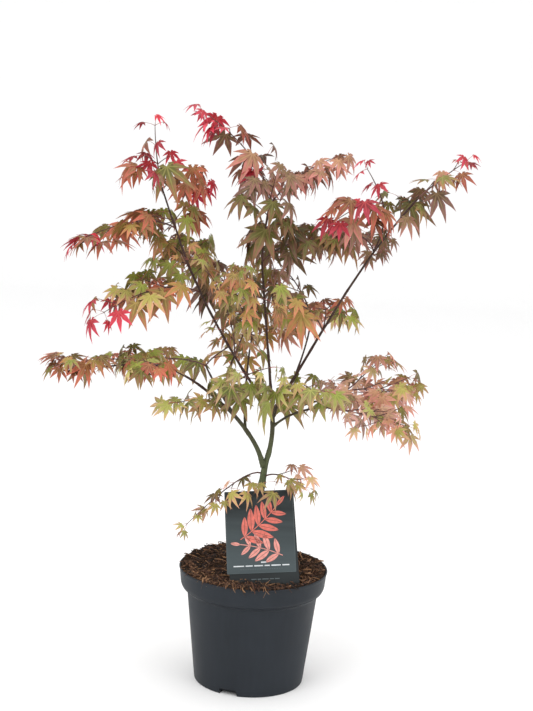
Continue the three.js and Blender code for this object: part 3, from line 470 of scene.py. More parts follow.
def start_material(name, roughness, specular=0.5):
    """A material with one Principled shader whose constant values sit on its own sockets."""
    material = bpy.data.materials.new(name)
    material.use_nodes = True
    shader = material.node_tree.nodes["Principled BSDF"]
    shader.inputs["Roughness"].default_value = roughness
    shader.inputs["Specular IOR Level"].default_value = specular
    return material, material.node_tree, shader


# The colour sockets of a mix node, by number, because its names stand for several kinds
MIX_FIRST, MIX_SECOND, MIX_RESULT = 6, 7, 2


def mixed(tree, mask, first, second, factor=1.0):
    """A colour between two, by a mask times a factor. first and second are colours or sockets."""
    if factor != 1.0:
        mask = add_node(tree, "ShaderNodeMath", {0: mask, 1: factor}, operation="MULTIPLY").outputs[0]
    inputs = {"Factor": mask, MIX_FIRST: first, MIX_SECOND: second}
    return add_node(tree, "ShaderNodeMix", inputs, data_type="RGBA").outputs[MIX_RESULT]


def varied(tree, mask, rgb, low, high):
    """A colour between its shades at two factors, by a mask."""
    return mixed(tree, mask, shade(rgb, low), shade(rgb, high))


def finish_surface(tree, shader, colour_out, **relief):
    """Gives a shader its colour and its fine relief."""
    normal = place_group(tree, "Fine relief", **relief)["Normal"]
    feed(tree, shader, {"Base Color": colour_out, "Normal": normal})


def plain_finish(name, rgb, roughness, patch=40.0, spread=0.14, grain=700.0, depth=0.0002,
                 specular=0.5):
    """A finish with soft lighter and darker patches and a fine relief."""
    material, tree, shader = start_material(name, roughness, specular)
    patched = varied(tree, soft_patches(tree, Scale=patch), rgb, 1 - spread, 1 + spread)
    finish_surface(tree, shader, patched, Scale=grain, Depth=depth)
    return material


def leaf_finish(name, body, margin):
    """A leaf tint: its body, its margin, a paler rib, and leaves a little lighter or darker at random,
    partly their own tone and partly painted shade and painted light.
    """
    material, tree, shader = start_material("leaf_" + name, 0.5, 0.3)
    pattern = place_group(tree, "Leaf pattern")
    rib = [0.9 * part + 0.3 * pale for part, pale in zip(body, RIB_TINT)]
    # Darker and lighter copies of the tint by each leaf's tone: partly the leaves' own tone, partly painted
    # shade and painted light
    dark = mixed(tree, pattern["Margin"], shade(body, 0.76), shade(margin, 0.8))
    light = mixed(tree, pattern["Margin"], shade(body, 1.2), shade(margin, 1.14))
    toned = mixed(tree, pattern["Tone"], dark, light)
    ribbed = mixed(tree, pattern["Rib"], toned, linear(rib), 0.6)
    finish_surface(tree, shader, ribbed, Scale=420.0, Depth=0.0003, Strength=0.35)
    return material


def bark_finish(settings):
    """Bark: grey-green low down, dark purple-brown from 0.52 metres up, with pale flecks and fine
    ridges."""
    material, tree, shader = start_material("bark", 0.7, 0.2)
    patches = soft_patches(tree, Scale=70.0, Stretch=(1.0, 1.0, 0.35))
    flecks = soft_patches(tree, Scale=420.0, Detail=1.0, Stretch=(1.0, 1.0, 2.2))
    low = varied(tree, patches, settings.young, 0.72, 1.12)
    high = varied(tree, patches, settings.dark, 0.8, 1.25)
    bark = mixed(tree, by_height(tree, 0.40, 0.52), low, high)
    flecked = mixed(tree, flecks, bark, linear((0.55, 0.5, 0.42)), 0.16)
    finish_surface(tree, shader, flecked, Scale=520.0, Depth=0.0005, Strength=0.6,
                   Stretch=(1.0, 1.0, 0.3))
    return material


def pot_finish(settings):
    """Moulded plastic: a dark body with large soft patches, duller where they are paler, and faint
    upright scuffs."""
    material, tree, shader = start_material("pot_plastic", 0.48, 0.16)
    patches = soft_patches(tree, Scale=9.0)
    scuffs = soft_patches(tree, Scale=120.0, Detail=2.0, Stretch=(1.0, 1.0, 0.06))
    body = varied(tree, patches, settings.plastic, 0.93, 1.1)
    worn = mixed(tree, scuffs, body, shade(settings.plastic, 1.3), 0.14)
    feed(tree, shader, {"Roughness": ranged(tree, patches, first=0.42, last=0.58)})
    finish_surface(tree, shader, worn, Scale=900.0, Depth=0.00025, Strength=0.35)
    return material


def compost_finish(settings):
    """Compost: darker and lighter patches under fine pale ones, with a coarse relief."""
    material, tree, shader = start_material("compost", 0.92, 0.2)
    coarse = soft_patches(tree, Scale=60.0, Detail=6.0)
    fine = soft_patches(tree, Scale=420.0, Detail=6.0)
    soil = varied(tree, coarse, settings.soil, 0.5, 1.25)
    crumbs = mixed(tree, fine, soil, shade(settings.straw, 0.62), 0.4)
    finish_surface(tree, shader, crumbs, Scale=380.0, Depth=0.002, Strength=0.9)
    return material


def card_finish(settings):
    """Printed card: near black at the top and slate at the foot, with level bands of painted sheen
    that lighten its colour where the card is also rougher.
    """
    material, tree, shader = start_material("label_card", 0.34, 0.3)
    bands = soft_patches(tree, Scale=16.0, Detail=2.0, Stretch=(0.3, 0.3, 5.0))
    faded = by_height(tree, 0.345, 0.215)
    card = mixed(tree, faded, linear(settings.top_colour), linear(settings.low_colour))
    # Painted sheen: the bands lighten the card towards a paler copy of its foot colour
    painted_sheen = mixed(tree, bands, card, shade(settings.low_colour, 1.15), 0.22)
    feed(tree, shader, {"Roughness": ranged(tree, bands, first=0.28, last=0.46)})
    finish_surface(tree, shader, painted_sheen, Scale=30.0, Depth=0.0006, Strength=0.25,
                   Stretch=(0.4, 0.4, 3.0))
    return material


# Meshes from arrays


def add_piece(name, verts, faces, materials, slot, replaced=(), face_material=None, smooth=True,
              values=None):
    """A piece from arrays. verts is in millimetres, and faces is a list of arrays with one row a
    face, each array with its own number of corners. face_material gives each face's material, and
    values gives the point attributes by name."""
    mesh = bpy.data.meshes.new(name)
    counts = np.concatenate([np.full(len(rows), rows.shape[1], np.int32) for rows in faces])
    corners = np.concatenate([rows.ravel() for rows in faces]).astype(np.int32)
    mesh.vertices.add(len(verts))
    mesh.vertices.foreach_set("co", (np.asarray(verts) * MM).astype(np.float32).ravel())
    mesh.loops.add(len(corners))
    mesh.loops.foreach_set("vertex_index", corners)
    mesh.polygons.add(len(counts))
    starts = np.concatenate([[0], np.cumsum(counts)[:-1]]).astype(np.int32)
    mesh.polygons.foreach_set("loop_start", starts)
    mesh.polygons.foreach_set("use_smooth", np.full(len(counts), smooth))
    for material in materials:
        mesh.materials.append(material)
    if face_material is not None:
        mesh.polygons.foreach_set("material_index", np.asarray(face_material, np.int32))
    for label, data in (values or {}).items():
        mesh.attributes.new(label, "FLOAT", "POINT")
        mesh.attributes[label].data.foreach_set("value", np.asarray(data, np.float32))
    mesh.update(calc_edges=True)
    if mesh.validate():
        raise RuntimeError(name + " has faces that aren't sound")
    made = bpy.data.objects.new(name, mesh)
    bpy.context.scene.collection.objects.link(made)
    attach(made, BODY)
    if replaced:
        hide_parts(*replaced)


def unit(v):
    """Each row divided by its length."""
    return v / np.maximum(np.linalg.norm(v, axis=-1, keepdims=True), 1e-9)


def rotation(axis, angle):
    """The right-handed rotation about axis 0, 1 or 2, as a 3 by 3 array."""
    first, second = (axis + 1) % 3, (axis + 2) % 3
    c, s = math.cos(angle), math.sin(angle)
    turned = np.eye(3)
    turned[first, first] = turned[second, second] = c
    turned[second, first] = s
    turned[first, second] = -s
    return turned


def carried_rings(centres, radii, sides):
    """Rings carried along many paths at once: ring i of a path is centre i plus radius i times
    (cos a * normal + sin a * binormal), where the normal turns as little as it can from ring to
    ring. centres is paths by rings by 3 and radii is paths by rings, or paths by rings by sides.
    Gives points as paths by rings by sides by 3."""
    ahead = unit(np.gradient(centres, axis=1))
    normal = np.cross(ahead[:, 0], UP)
    flat = np.linalg.norm(normal, axis=1) < 0.1
    normal[flat] = (1.0, 0.0, 0.0)
    normals = []
    for ring in range(centres.shape[1]):
        along = ahead[:, ring]
        normal = unit(normal - (normal * along).sum(1, keepdims=True) * along)
        normals.append(normal)
    normals = np.stack(normals, 1)
    across = np.cross(ahead, normals)
    angle = 2 * np.pi * np.arange(sides) / sides
    spread = (np.cos(angle)[:, None] * normals[:, :, None] + np.sin(angle)[:, None] * across[:, :, None])
    wide = radii[..., None] if radii.ndim == 2 else radii
    return centres[:, :, None] + wide[..., None] * spread


def band_quads(index):
    """Quads between the neighbouring rings of a table of points, whose last axis runs round."""
    here, onward = index[..., :-1, :], index[..., 1:, :]
    corners = [here, np.roll(here, -1, -1), np.roll(onward, -1, -1), onward]
    return np.stack(corners, -1).reshape(-1, 4)


def ring_faces(paths, rings, sides):
    """Faces of carried rings: quads between rings and one cap at each end of each path."""
    index = np.arange(paths * rings * sides).reshape(paths, rings, sides)
    return band_quads(index), np.concatenate([index[:, 0, ::-1], index[:, -1]])


def tubes(centres, radii, sides):
    """Closed tubes: points and faces."""
    points = carried_rings(centres, radii, sides)
    return points.reshape(-1, 3), ring_faces(*points.shape[:3])


def joined(parts):
    """Tubes made apart, as one: all their points, and the faces as all the quads, then the caps of
    each part."""
    starts = np.cumsum([0] + [len(points) for points, _ in parts])
    quads = [quads + start for (_, (quads, _)), start in zip(parts, starts)]
    caps = [caps + start for (_, (_, caps)), start in zip(parts, starts)]
    return np.concatenate([points for points, _ in parts]), [np.concatenate(quads), *caps]


def lathe_rows(profile, angles):
    """A turned surface: point (i, j) is profile i's radius at angle j and its height. Gives points
    and faces: quads, and one face that closes each end."""
    radius, height = profile[:, :1], profile[:, 1:]
    rows = np.stack([radius * np.cos(angles), radius * np.sin(angles), height + 0 * angles], -1)
    index = np.arange(rows[..., 0].size).reshape(rows.shape[:2])
    return rows, [band_quads(index), index[:1, ::-1], index[-1:]]


def filleted(corners, steps=5):
    """A profile with rounded corners. Each corner is (x, y, size): the line leaves it size before
    and after, and a quadratic curve (1-t)^2 a + 2t(1-t) b + t^2 c runs between."""
    pts = np.array([c[:2] for c in corners], float)
    sizes = np.array([c[2] for c in corners], float)
    before = pts[1:-1] + unit(pts[:-2] - pts[1:-1]) * sizes[1:-1, None]
    after = pts[1:-1] + unit(pts[2:] - pts[1:-1]) * sizes[1:-1, None]
    t = np.linspace(0, 1, steps)[None, :, None]
    curve = (1 - t) ** 2 * before[:, None] + 2 * t * (1 - t) * pts[1:-1, None] + t**2 * after[:, None]
    return np.concatenate([pts[:1], curve.reshape(-1, 2), pts[-1:]])


def divided(line, step):
    """A row of points with more put in, so that none is further than step from the next."""
    parts = [line[:1]]
    for here, onward in zip(line, line[1:]):
        count = max(1, math.ceil(np.linalg.norm(onward - here) / step))
        parts.append(here + (onward - here) * (np.arange(1, count + 1) / count)[:, None])
    return np.concatenate(parts)


def ripple(points, seed, waves, wavelength):
    """Smooth noise, mostly from -1 to 1: the sum of sines along seeded directions and lengths, over
    1.4 times the root of their number."""
    rng = np.random.default_rng(seed)
    ways = unit(rng.normal(size=(waves, points.shape[-1])))
    lengths = wavelength * rng.uniform(0.6, 1.7, waves)
    phase = rng.uniform(0, 2 * np.pi, waves)
    return np.sin(points @ (ways * (2 * np.pi / lengths)[:, None]).T + phase).sum(-1) / waves**0.5 / 1.4


def wrapped(angle):
    """An angle between minus and plus half a turn: (angle + pi) mod 2 pi, minus pi."""
    return (angle + np.pi) % (2 * np.pi) - np.pi


# Pot

# The radius inside which the pot's floor is recessed, and half the width of a notch's steep side as
# an angle
FLOOR_EDGE = 85.0
NOTCH_SIDE = 0.004


def pot_profile(settings):
    """The wall's outline from the middle of the underside, up the outside and down the inside. Each
    corner is its radius, its height and its rounding."""
    top, foot, wall = settings.height, settings.foot_radius, settings.wall
    rim, collar, shoulder = settings.rim_radius, settings.collar_radius, settings.shoulder_radius
    low = settings.collar_foot
    return divided(filleted([
        (0, 2, 0), (84, 2, 3), (88, 0, 0.8), (foot - 0.5, 0, 1.0), (foot + 0.4, 6, 2),
        (shoulder - 1, low - 7, 3), (shoulder + 1.5, low - 4.5, 2), (collar - 6.5, low - 2.2, 3),
        (collar - 2.6, low + 4, 5), (collar, top - 5, 2), (rim - 0.7, top - 3.6, 1),
        (rim, top - 1.8, 0.8), (rim - 0.5, top, 0.8), (rim - wall, top, 0.7),
        (rim - wall - 1.0, top - 1.6, 1), (collar - wall - 0.8, top - 14, 3),
        (collar - wall - 3.6, low + 2, 3), (shoulder - wall, low - 4, 3), (foot - wall, 12, 4),
        (0, 12, 0),
    ]), 8.0)


def build_pot(settings):
    """The pot: a turned wall with a thin rim, a collar on a rounded shoulder, a recessed floor and
    drain notches, where the foot is lifted within a notch's angle."""
    profile = pot_profile(settings)
    notches = 3
    turns = settings.notch_turn + np.arange(notches) * 2 * np.pi / notches
    half = settings.notch_width / 2 / settings.foot_radius
    base = np.linspace(-np.pi, np.pi, 216, endpoint=False)
    sides = (turns[:, None] + (-half, half))[..., None] + (-NOTCH_SIDE, NOTCH_SIDE)
    angles = np.unique(np.round(np.concatenate([base, wrapped(sides.ravel())]), 5))
    rows, faces = lathe_rows(profile, angles)
    radius = profile[:, :1]
    outer = (np.arange(len(profile)) < profile[:, 1].argmax())[:, None]
    away = np.abs(wrapped(angles[:, None] - turns)).min(1)
    slope = settings.notch_height * 0.1 / settings.foot_radius
    lifted = np.where(away < half - slope, settings.notch_height, 0.0)[None, :]
    notched = outer & (radius > FLOOR_EDGE) & (rows[..., 2] < lifted)
    rows[..., 2] = np.where(notched, lifted + 0.02 * (radius - FLOOR_EDGE), rows[..., 2])
    add_piece("pot_shell", rows.reshape(-1, 3), faces, [pot_finish(settings)], "pot", ["pot"])


# Compost

# Where the trunk stands, and how far round it the compost is level and free of clumps
TRUNK_AT = (3.0, 0.0)
LEVEL_ROUND = 20.0
SMOOTH_ROUND = 12.0

# Hills of the compost: the mound, the heaps by the front lip and at the right, and the patches of
# paler fibres at the left of the front and at the right. Each has a middle and a spread along X and
# Y, and a heap has its height first.
MOUND = (-30, 45), (75, 75)
HEAPS = [(4.0, (-8, -118), (52, 22)), (2.5, (114, 12), (30, 50))]
PALE_PATCHES = [((-72, -72), (42, 34)), ((88, -6), (34, 50))]

# The underside of the compost, the radius from which its surface rises to the brim and over how far,
# the radii from which a strand lies by the wall, by the rim and over the rim
UNDERSIDE = 176.0
BRIM_FROM, BRIM_WIDTH = 95.0, 30.0
BY_WALL, BY_RIM, OVER_RIM = 113.0, 122.0, 126.0

# The angle at which compost is spilt over the front lip, in radians
SPILT_AT = -1.65


def hill(x, y, middle, spread):
    """exp(-(dx / spread x)^2 - (dy / spread y)^2), where dx and dy are measured from the middle."""
    return np.exp(-((x - middle[0]) / spread[0]) ** 2 - ((y - middle[1]) / spread[1]) ** 2)


def from_trunk(x, y, reach):
    """0 up to a distance from the trunk's middle, then rising to 1 at twice the distance."""
    return np.clip(np.hypot(x - TRUNK_AT[0], y - TRUNK_AT[1]) / reach - 1, 0, 1)


def mound_level(x, y, settings):
    """Height of the compost: the edge level plus the mound's hill, levelled round the trunk. The
    blend between the two is 3 b^2 - 2 b^3."""
    level = settings.edge_level + settings.mound * hill(x, y, *MOUND)
    blend = from_trunk(x, y, LEVEL_ROUND)
    blend = blend * blend * (3 - 2 * blend)
    return ground_level(settings) * (1 - blend) + level * blend


def ground_level(settings):
    """Height of the mound where the trunk stands."""
    return settings.edge_level + settings.mound * float(hill(*TRUNK_AT, *MOUND))


def clumped_level(x, y, settings):
    """The mound with clumps, ripples of three lengths that fade close to the trunk, a rise to the
    brim that grows with the square of the distance past its start, and the heaps."""
    flat = np.stack([x, y], -1)
    rough = ripple(flat, 5, 9, 22) + 0.6 * ripple(flat, 6, 9, 9) + 0.35 * ripple(flat, 7, 9, 4)
    heaps = sum(height * hill(x, y, middle, spread) for height, middle, spread in HEAPS)
    brim = settings.brim * np.clip((np.hypot(x, y) - BRIM_FROM) / BRIM_WIDTH, 0, 1) ** 2
    clumps = settings.clump * rough * from_trunk(x, y, SMOOTH_ROUND)
    return mound_level(x, y, settings) + heaps + brim + clumps


def build_compost(settings):
    """The compost's surface: a turned sheet whose height is the clumped mound, with a rounded edge,
    closed below."""
    radius = settings.reach
    rings = radius * np.sqrt(np.linspace(1, 0.0001, 70))
    wall = [[0, UNDERSIDE], [radius - 3.4, UNDERSIDE], [radius - 1.2, UNDERSIDE + 14]]
    profile = np.concatenate([wall, np.stack([rings, 0 * rings], 1)])
    rows, faces = lathe_rows(profile, np.linspace(-np.pi, np.pi, 200, endpoint=False))
    top = rows[len(wall):]
    top[..., 2] = clumped_level(top[..., 0], top[..., 1], settings)
    top[:3, :, 2] -= np.array([1.2, 0.5, 0.1])[:, None]
    add_piece("compost_bed", rows.reshape(-1, 3), faces, [compost_finish(settings)], "compost",
              ["compost"])
    build_fibres(settings)


def strewn(rng, count, settings, inset, spilt_share, spilt_spread, spilt_from, spilt_to, rim_lift):
    """Random places on the bed, a share of them spilt about the front lip. Gives the angle and the
    radius, the places on the surface, at least rim_lift high by the rim, and which ones are
    spilt."""
    away = (settings.reach - inset) * np.sqrt(rng.uniform(0, 1, count))
    angle = rng.uniform(-np.pi, np.pi, count)
    spilt = rng.uniform(size=count) < spilt_share
    angle = np.where(spilt, rng.normal(SPILT_AT, spilt_spread, count), angle)
    away = np.where(spilt, rng.uniform(spilt_from, spilt_to, count), away)
    x, y = away * np.cos(angle), away * np.sin(angle)
    level = clumped_level(x, y, settings)
    level = np.where(away > BY_RIM, np.maximum(level, settings.edge_level + rim_lift), level)
    return angle, away, np.stack([x, y, level], 1), spilt


def build_fibres(settings):
    """Loose fibres and crumbs: short bent three-sided strands, and flat chips, strewn on the bed.
    A strand's point t is its middle + along * (t - 1/2) + sideways * bend * (t - t^2), and a quarter
    of them arch by 8 * (t - t^2). Strands by the wall are short, and those over the rim point
    outward and hang. They are paler in the patches."""
    rng = np.random.default_rng(12)
    count = settings.fibres
    angle, away, middle, spilt = strewn(rng, count, settings, inset=2, spilt_share=0.09,
                                        spilt_spread=0.34, spilt_from=114, spilt_to=130, rim_lift=5.6)
    over = spilt & (away > OVER_RIM)
    heading = np.where(over, angle + rng.normal(0, 0.5, count), rng.uniform(-np.pi, np.pi, count))
    length = rng.gamma(3.2, 4.6, count).clip(4, 42)
    length = np.where((away > BY_WALL) & ~over, length.clip(4, 15), length)
    tilt = rng.normal(0, 0.2, count) - 0.45 * over
    along = np.stack([np.cos(heading) * np.cos(tilt), np.sin(heading) * np.cos(tilt), np.sin(tilt)], 1)
    side = np.stack([-np.sin(heading), np.cos(heading), 0 * heading], 1)
    middle[:, 2] += rng.uniform(-0.6, 2.2, count)
    t = np.linspace(0, 1, 5)[None, :, None]
    bend = rng.normal(0, 0.5, count)[:, None, None] * length[:, None, None]
    paths = middle[:, None] + along[:, None] * (t - 0.5) * length[:, None, None]
    paths = paths + side[:, None] * bend * (t - t * t)
    paths[..., 2] += 8.0 * (rng.uniform(size=count) < 0.25)[:, None] * (t - t * t)[..., 0]
    thick = rng.gamma(2.2, 0.3, count).clip(0.25, 1.5)
    points, (quads, caps) = tubes(paths, thick[:, None] * (0.5, 0.9, 1.0, 0.85, 0.4), 3)
    pale = sum(hill(*middle.T[:2], *patch) for patch in PALE_PATCHES) + 0.25 * spilt
    shift = rng.uniform(size=count)
    tones = rng.choice(4, count, p=[0.34, 0.28, 0.22, 0.16])
    tones = np.clip(tones + (shift < pale) - (shift > 0.58 + pale), 0, 3)
    face_tone = np.concatenate([np.repeat(tones, len(quads) // count), tones, tones])
    finishes = [
        plain_finish("fibre_dark", scaled(settings.soil, 0.85), 0.9, patch=300.0),
        plain_finish("fibre_brown", (0.31, 0.195, 0.135), 0.85, patch=300.0),
        plain_finish("fibre_russet", (0.42, 0.29, 0.2), 0.8, patch=300.0),
        plain_finish("fibre_straw", settings.straw, 0.8, patch=300.0),
    ]
    add_piece("compost_fibres", points, [quads, caps], finishes, "compost", [], face_tone)
    build_chips(settings, rng, finishes)


# A crumb: a box with a drawn-in top
CRUMB = np.array([[-1, -1, -1], [1, -1, -1], [1, 1, -1], [-1, 1, -1],
                  [-0.7, -0.6, 1], [0.8, -0.7, 1], [0.6, 0.7, 1], [-0.8, 0.6, 1]])
CRUMB_FACES = np.array([[3, 2, 1, 0], [4, 5, 6, 7], [0, 1, 5, 4], [1, 2, 6, 5], [2, 3, 7, 6],
                        [3, 0, 4, 7]])


def build_chips(settings, rng, finishes):
    """Crumbs: small boxes with drawn-in tops, turned and tilted at random on the bed."""
    count = settings.chips
    _, _, places, _ = strewn(rng, count, settings, inset=3, spilt_share=0.12, spilt_spread=0.32,
                             spilt_from=112, spilt_to=128, rim_lift=5.4)
    size_mm = rng.gamma(3.0, 0.55, (count, 3)).clip(0.5, 4.0) * (1, 0.7, 0.45)
    turns = rng.uniform(-np.pi, np.pi, count)
    leans = rng.normal(0, 0.5, count)
    turned = np.array([rotation(2, turn) for turn in turns])
    leaned = np.array([rotation(1, lean) for lean in leans])
    points = np.einsum("nij,njk,nvk->nvi", turned, leaned, CRUMB[None] * size_mm[:, None])
    points += (places + 0.5 * UP)[:, None]
    faces = (CRUMB_FACES[None] + len(CRUMB) * np.arange(count)[:, None, None]).reshape(-1, 4)
    tone = np.repeat(rng.choice(3, count, p=[0.5, 0.3, 0.2]), len(CRUMB_FACES))
    add_piece("compost_crumbs", points.reshape(-1, 3), [faces], finishes[:3], "compost", [], tone,
              smooth=False)


# Label

# The foot of the label in the part's frame, how far it leans back and how far it lies over
CARD_FOOT = np.array([16.5, -82.0, 199.0])
CARD_LEAN = rotation(0, math.radians(-17.5))
CARD_TURN = rotation(1, math.radians(-5.0))

# What no leaf may enter: half the label's width and depth, and its height
LABEL_BOX = (62.0, 4.0, 161.0)

# The cards' corners and bevel
CORNER, BEVEL = 1.6, 0.22

# The rear card against the front one: how far to the right, how much lower its top, how far behind
# and how much it leans over
REAR_ASIDE, REAR_LOWER, REAR_GAP, REAR_SLANT = 4.6, 1.5, 0.3, 0.028

# How far the print lies off the front card and off the rear one, and the edge line's inset and width
OFF_FRONT, OFF_REAR = 0.12, 0.18
EDGE_INSET, EDGE_WIDTH = 1.4, 0.35

# The inks of the print
SALMON, PINK, PALE, FAINT = range(4)

# Printed sprigs: ink, base over the card's lower edge, way, reach, pairs, longest oval, half width
SPRIGS = [(SALMON, (-34, 58), 0.56, 84, 5, 41, 7.0), (PINK, (37, 29), 2.7, 74, 4, 33, 6.0)]

# Their stem's width and bend, the angle of their ovals and half the gap at an oval's rib
STEM_WIDTH, STEM_BEND, OVAL_ANGLE, RIB_GAP = 1.3, 0.16, 0.95, 0.28

# Rows of bars: ink, middle, height over the card's lower edge, widths, height of a bar, gap
BARS = [
    (PALE, 4, 17.5, [9], 2.3, 2),
    (PALE, 0, 12, [18, 12, 15, 9, 16, 12], 2.0, 2.6),
    (FAINT, 0, 7, [2.2] * 18, 1.0, 1.9),
]

# The row on the rear card: middle, height over the label's foot, widths, height of a bar, gap
REAR_BARS = (6, 7.5, [9, 6, 11, 7, 8], 1.6, 1.8)


def on_label(points):
    """Points of the label's own frame in the part's frame: turned about Y, then leaned about X."""
    return points @ CARD_TURN.T @ CARD_LEAN.T + CARD_FOOT


def rounded_outline(low, high, radius, steps=6):
    """A rectangle with rounded corners, counter-clockwise seen from the front."""
    centres = np.array([[high[0] - radius, low[1] + radius], [high[0] - radius, high[1] - radius],
                        [low[0] + radius, high[1] - radius], [low[0] + radius, low[1] + radius]])
    a = np.linspace(0, np.pi / 2, steps)[None] + np.array([-0.5, 0, 0.5, 1])[:, None] * np.pi
    return (centres[:, None] + radius * np.stack([np.cos(a), np.sin(a)], -1)).reshape(-1, 2)


def add_card(name, node, low, high, depth, thickness, slant, finish):
    """A card: its rounded outline on four layers, the outer two drawn in as a fine bevel, turned in
    its own plane by the slant."""
    layers = [(0.0, BEVEL), (BEVEL, 0.0), (thickness - BEVEL, 0.0), (thickness, BEVEL)]
    rows = []
    for back, inset in layers:
        outline = rounded_outline(np.add(low, inset), np.subtract(high, inset), CORNER)
        rows.append(np.insert(outline, 1, depth + back, axis=1))
    rows = np.array(rows)
    rows = rows + slant * np.stack([-rows[..., 2], 0 * rows[..., 0], rows[..., 0]], -1)
    index = np.arange(rows[..., 0].size).reshape(rows.shape[:2])
    quads = band_quads(index)[:, [0, 3, 2, 1]]
    add_piece(name, on_label(rows.reshape(-1, 3)), [quads, index[:1], index[-1:, ::-1]], [finish],
              "label", [node], smooth=False)


def leaflet(base, angle, length, width, steps=12):
    """A pointed oval: half width is width * sin(pi t)^0.8 * (1 - 0.25 t) at share t of its length."""
    t = np.linspace(0, 1, steps)
    half = width * np.sin(np.pi * t) ** 0.8 * (1 - 0.25 * t)
    local = np.concatenate([np.stack([t * length, -half], 1), np.stack([t * length, half], 1)[-2:0:-1]])
    c, s = math.cos(angle), math.sin(angle)
    return local @ np.array([[c, s], [-s, c]]) + base


def ribbon(points, width):
    """A flat strip of one width along a row of points."""
    ahead = unit(np.gradient(points, axis=0))
    side = np.stack([-ahead[:, 1], ahead[:, 0]], 1) * width / 2
    return np.concatenate([points - side, (points + side)[::-1]])


def bar_row(middle, level, widths, tall, gap):
    """Plain bars side by side about the middle."""
    total = sum(widths) + gap * (len(widths) - 1)
    left = middle - total / 2
    bars = []
    for width in widths:
        bars.append(np.array([[left, level], [left + width, level], [left + width, level + tall],
                              [left, level + tall]]))
        left += width + gap
    return bars


def sprig(base, way, reach, pairs, longest, wide):
    """A printed sprig: a stem that bends as t^2, with pairs of pointed ovals, each in two halves on
    either side of its rib, that shorten towards the tip, where there is one alone."""
    t = np.linspace(0, 1, 40)[:, None]
    ahead, aside = np.array([[math.cos(way), math.sin(way)], [-math.sin(way), math.cos(way)]])
    stem = np.array(base) + reach * (t * ahead + STEM_BEND * t**2 * aside)
    shapes = [ribbon(stem, STEM_WIDTH)]
    for k in range(pairs + 1):
        place = int((len(stem) - 1) * (0.12 + 0.88 * k / pairs))
        ahead = stem[place] - stem[place - 1]
        angle = math.atan2(ahead[1], ahead[0])
        length = longest * (1 - 0.5 * (k / pairs) ** 1.4) * (0.82 if k == 0 else 1)
        for side in ((-1, 1) if k < pairs else (0,)):
            whole = leaflet(stem[place], angle + side * OVAL_ANGLE, length, wide * length / longest)
            half = len(whole) // 2 + 1
            rib = whole[[0, half - 1]]
            shift = unit(rib[1] - rib[0])[::-1] * (-1, 1) * RIB_GAP
            shapes.append(whole[:half] - shift)
            shapes.append(np.concatenate([whole[half - 1:], whole[:1]]) + shift)
    return shapes


def edge_lines(low, high, inset, width):
    """Four thin lines along the inside of a card's edge."""
    left, right = low[0] + inset, high[0] - inset
    foot, top = low[1] + inset, high[1] - inset
    corners = np.array([[left, foot], [right, foot], [right, top], [left, top]])
    return [ribbon(np.array(ends), width) for ends in zip(corners, np.roll(corners, -1, 0))]


def build_label(settings):
    """The label: two dark cards, and on the front one two plain sprigs of broad ovals, a pale edge
    line and rows of plain bars."""
    half, thick = settings.width / 2, settings.thickness
    low, high = (-half, settings.lift), (half, settings.lift + settings.height)
    add_card("label_front", "label_front_card", low, high, 0.0, thick, 0.0, card_finish(settings))
    under = plain_finish("label_under_card", scaled(settings.low_colour, 0.5), 0.4, patch=12.0,
                         specular=0.3)
    add_card("label_rear", "label_rear_card", (REAR_ASIDE - half, -settings.root),
             (REAR_ASIDE + half, high[1] - REAR_LOWER), thick + REAR_GAP, thick, REAR_SLANT, under)
    inks = [
        plain_finish("label_salmon", settings.salmon, 0.42, patch=160.0, spread=0.08, specular=0.3),
        plain_finish("label_pink", settings.pink, 0.42, patch=160.0, spread=0.08, specular=0.3),
        plain_finish("label_lines", (0.80, 0.82, 0.83), 0.42, patch=60.0, spread=0.06),
        plain_finish("label_faint", (0.33, 0.37, 0.38), 0.42, patch=60.0, spread=0.06),
    ]
    front = [(shape, ink) for ink, (x, z), *rest in SPRIGS for shape in sprig((x, low[1] + z), *rest)]
    front += [(bar, ink) for ink, x, z, *rest in BARS for bar in bar_row(x, low[1] + z, *rest)]
    front += [(line, FAINT) for line in edge_lines(low, high, EDGE_INSET, EDGE_WIDTH)]
    rear = [(bar, FAINT) for bar in bar_row(*REAR_BARS)]
    shapes = [np.insert(shape, 1, depth, axis=1)
              for prints, depth in ((front, -OFF_FRONT), (rear, thick + OFF_REAR))
              for shape, _ in prints]
    starts = np.cumsum([0] + [len(shape) for shape in shapes])
    faces = [np.arange(len(shape))[None] + start for shape, start in zip(shapes, starts)]
    add_piece("label_print", on_label(np.concatenate(shapes)), faces, inks, "label", [],
              [ink for _, ink in front + rear], smooth=False)


# Limbs

# Bark: the length of a step along a run, the sides of a tube, and how much an end is drawn in
STEP, SIDES, END_SHARE = 3.0, 18, 0.6

# Old leaf joints: how far apart they are and how far each run's are shifted, and how far to either
# side of a joint its two swellings lie and how wide they are
JOINT_GAP, JOINT_SHIFT = 58.0, 17.0
KNUCKLE_ASIDE, KNUCKLE_WIDTH = 3.0, 3.2

# How much a bough widens where it leaves its limb, and over what length
COLLAR, COLLAR_LENGTH = 0.3, 7.0

# How far from its limb's axis a shoot starts, in radii
LEAVE = 0.45


def bowed_path(start, end, bow, count=60):
    """Points at equal steps along (1-t)^2 a + 2t(1-t) m + t^2 b, where m is the middle of the
    straight line plus twice the bow."""
    start, end, bow = (np.asarray(v, float) for v in (start, end, bow))
    middle = (start + end) / 2 + 2 * bow
    t = np.linspace(0, 1, 400)[:, None]
    curve = (1 - t) ** 2 * start + 2 * t * (1 - t) * middle + t * t * end
    return evenly(curve, count)


def travelled(points):
    """How far along a row of points each of them lies."""
    return np.concatenate([[0], np.cumsum(np.linalg.norm(np.diff(points, axis=0), axis=1))])


def evenly(points, count):
    """A path of count + 1 points at equal distances along a row of points."""
    gone = travelled(points)
    at = np.linspace(0, gone[-1], count + 1)
    return np.stack([np.interp(at, gone, points[:, k]) for k in range(3)], 1)


def path_length(points):
    """Length of a row of points."""
    return float(np.linalg.norm(np.diff(points, axis=0), axis=1).sum())


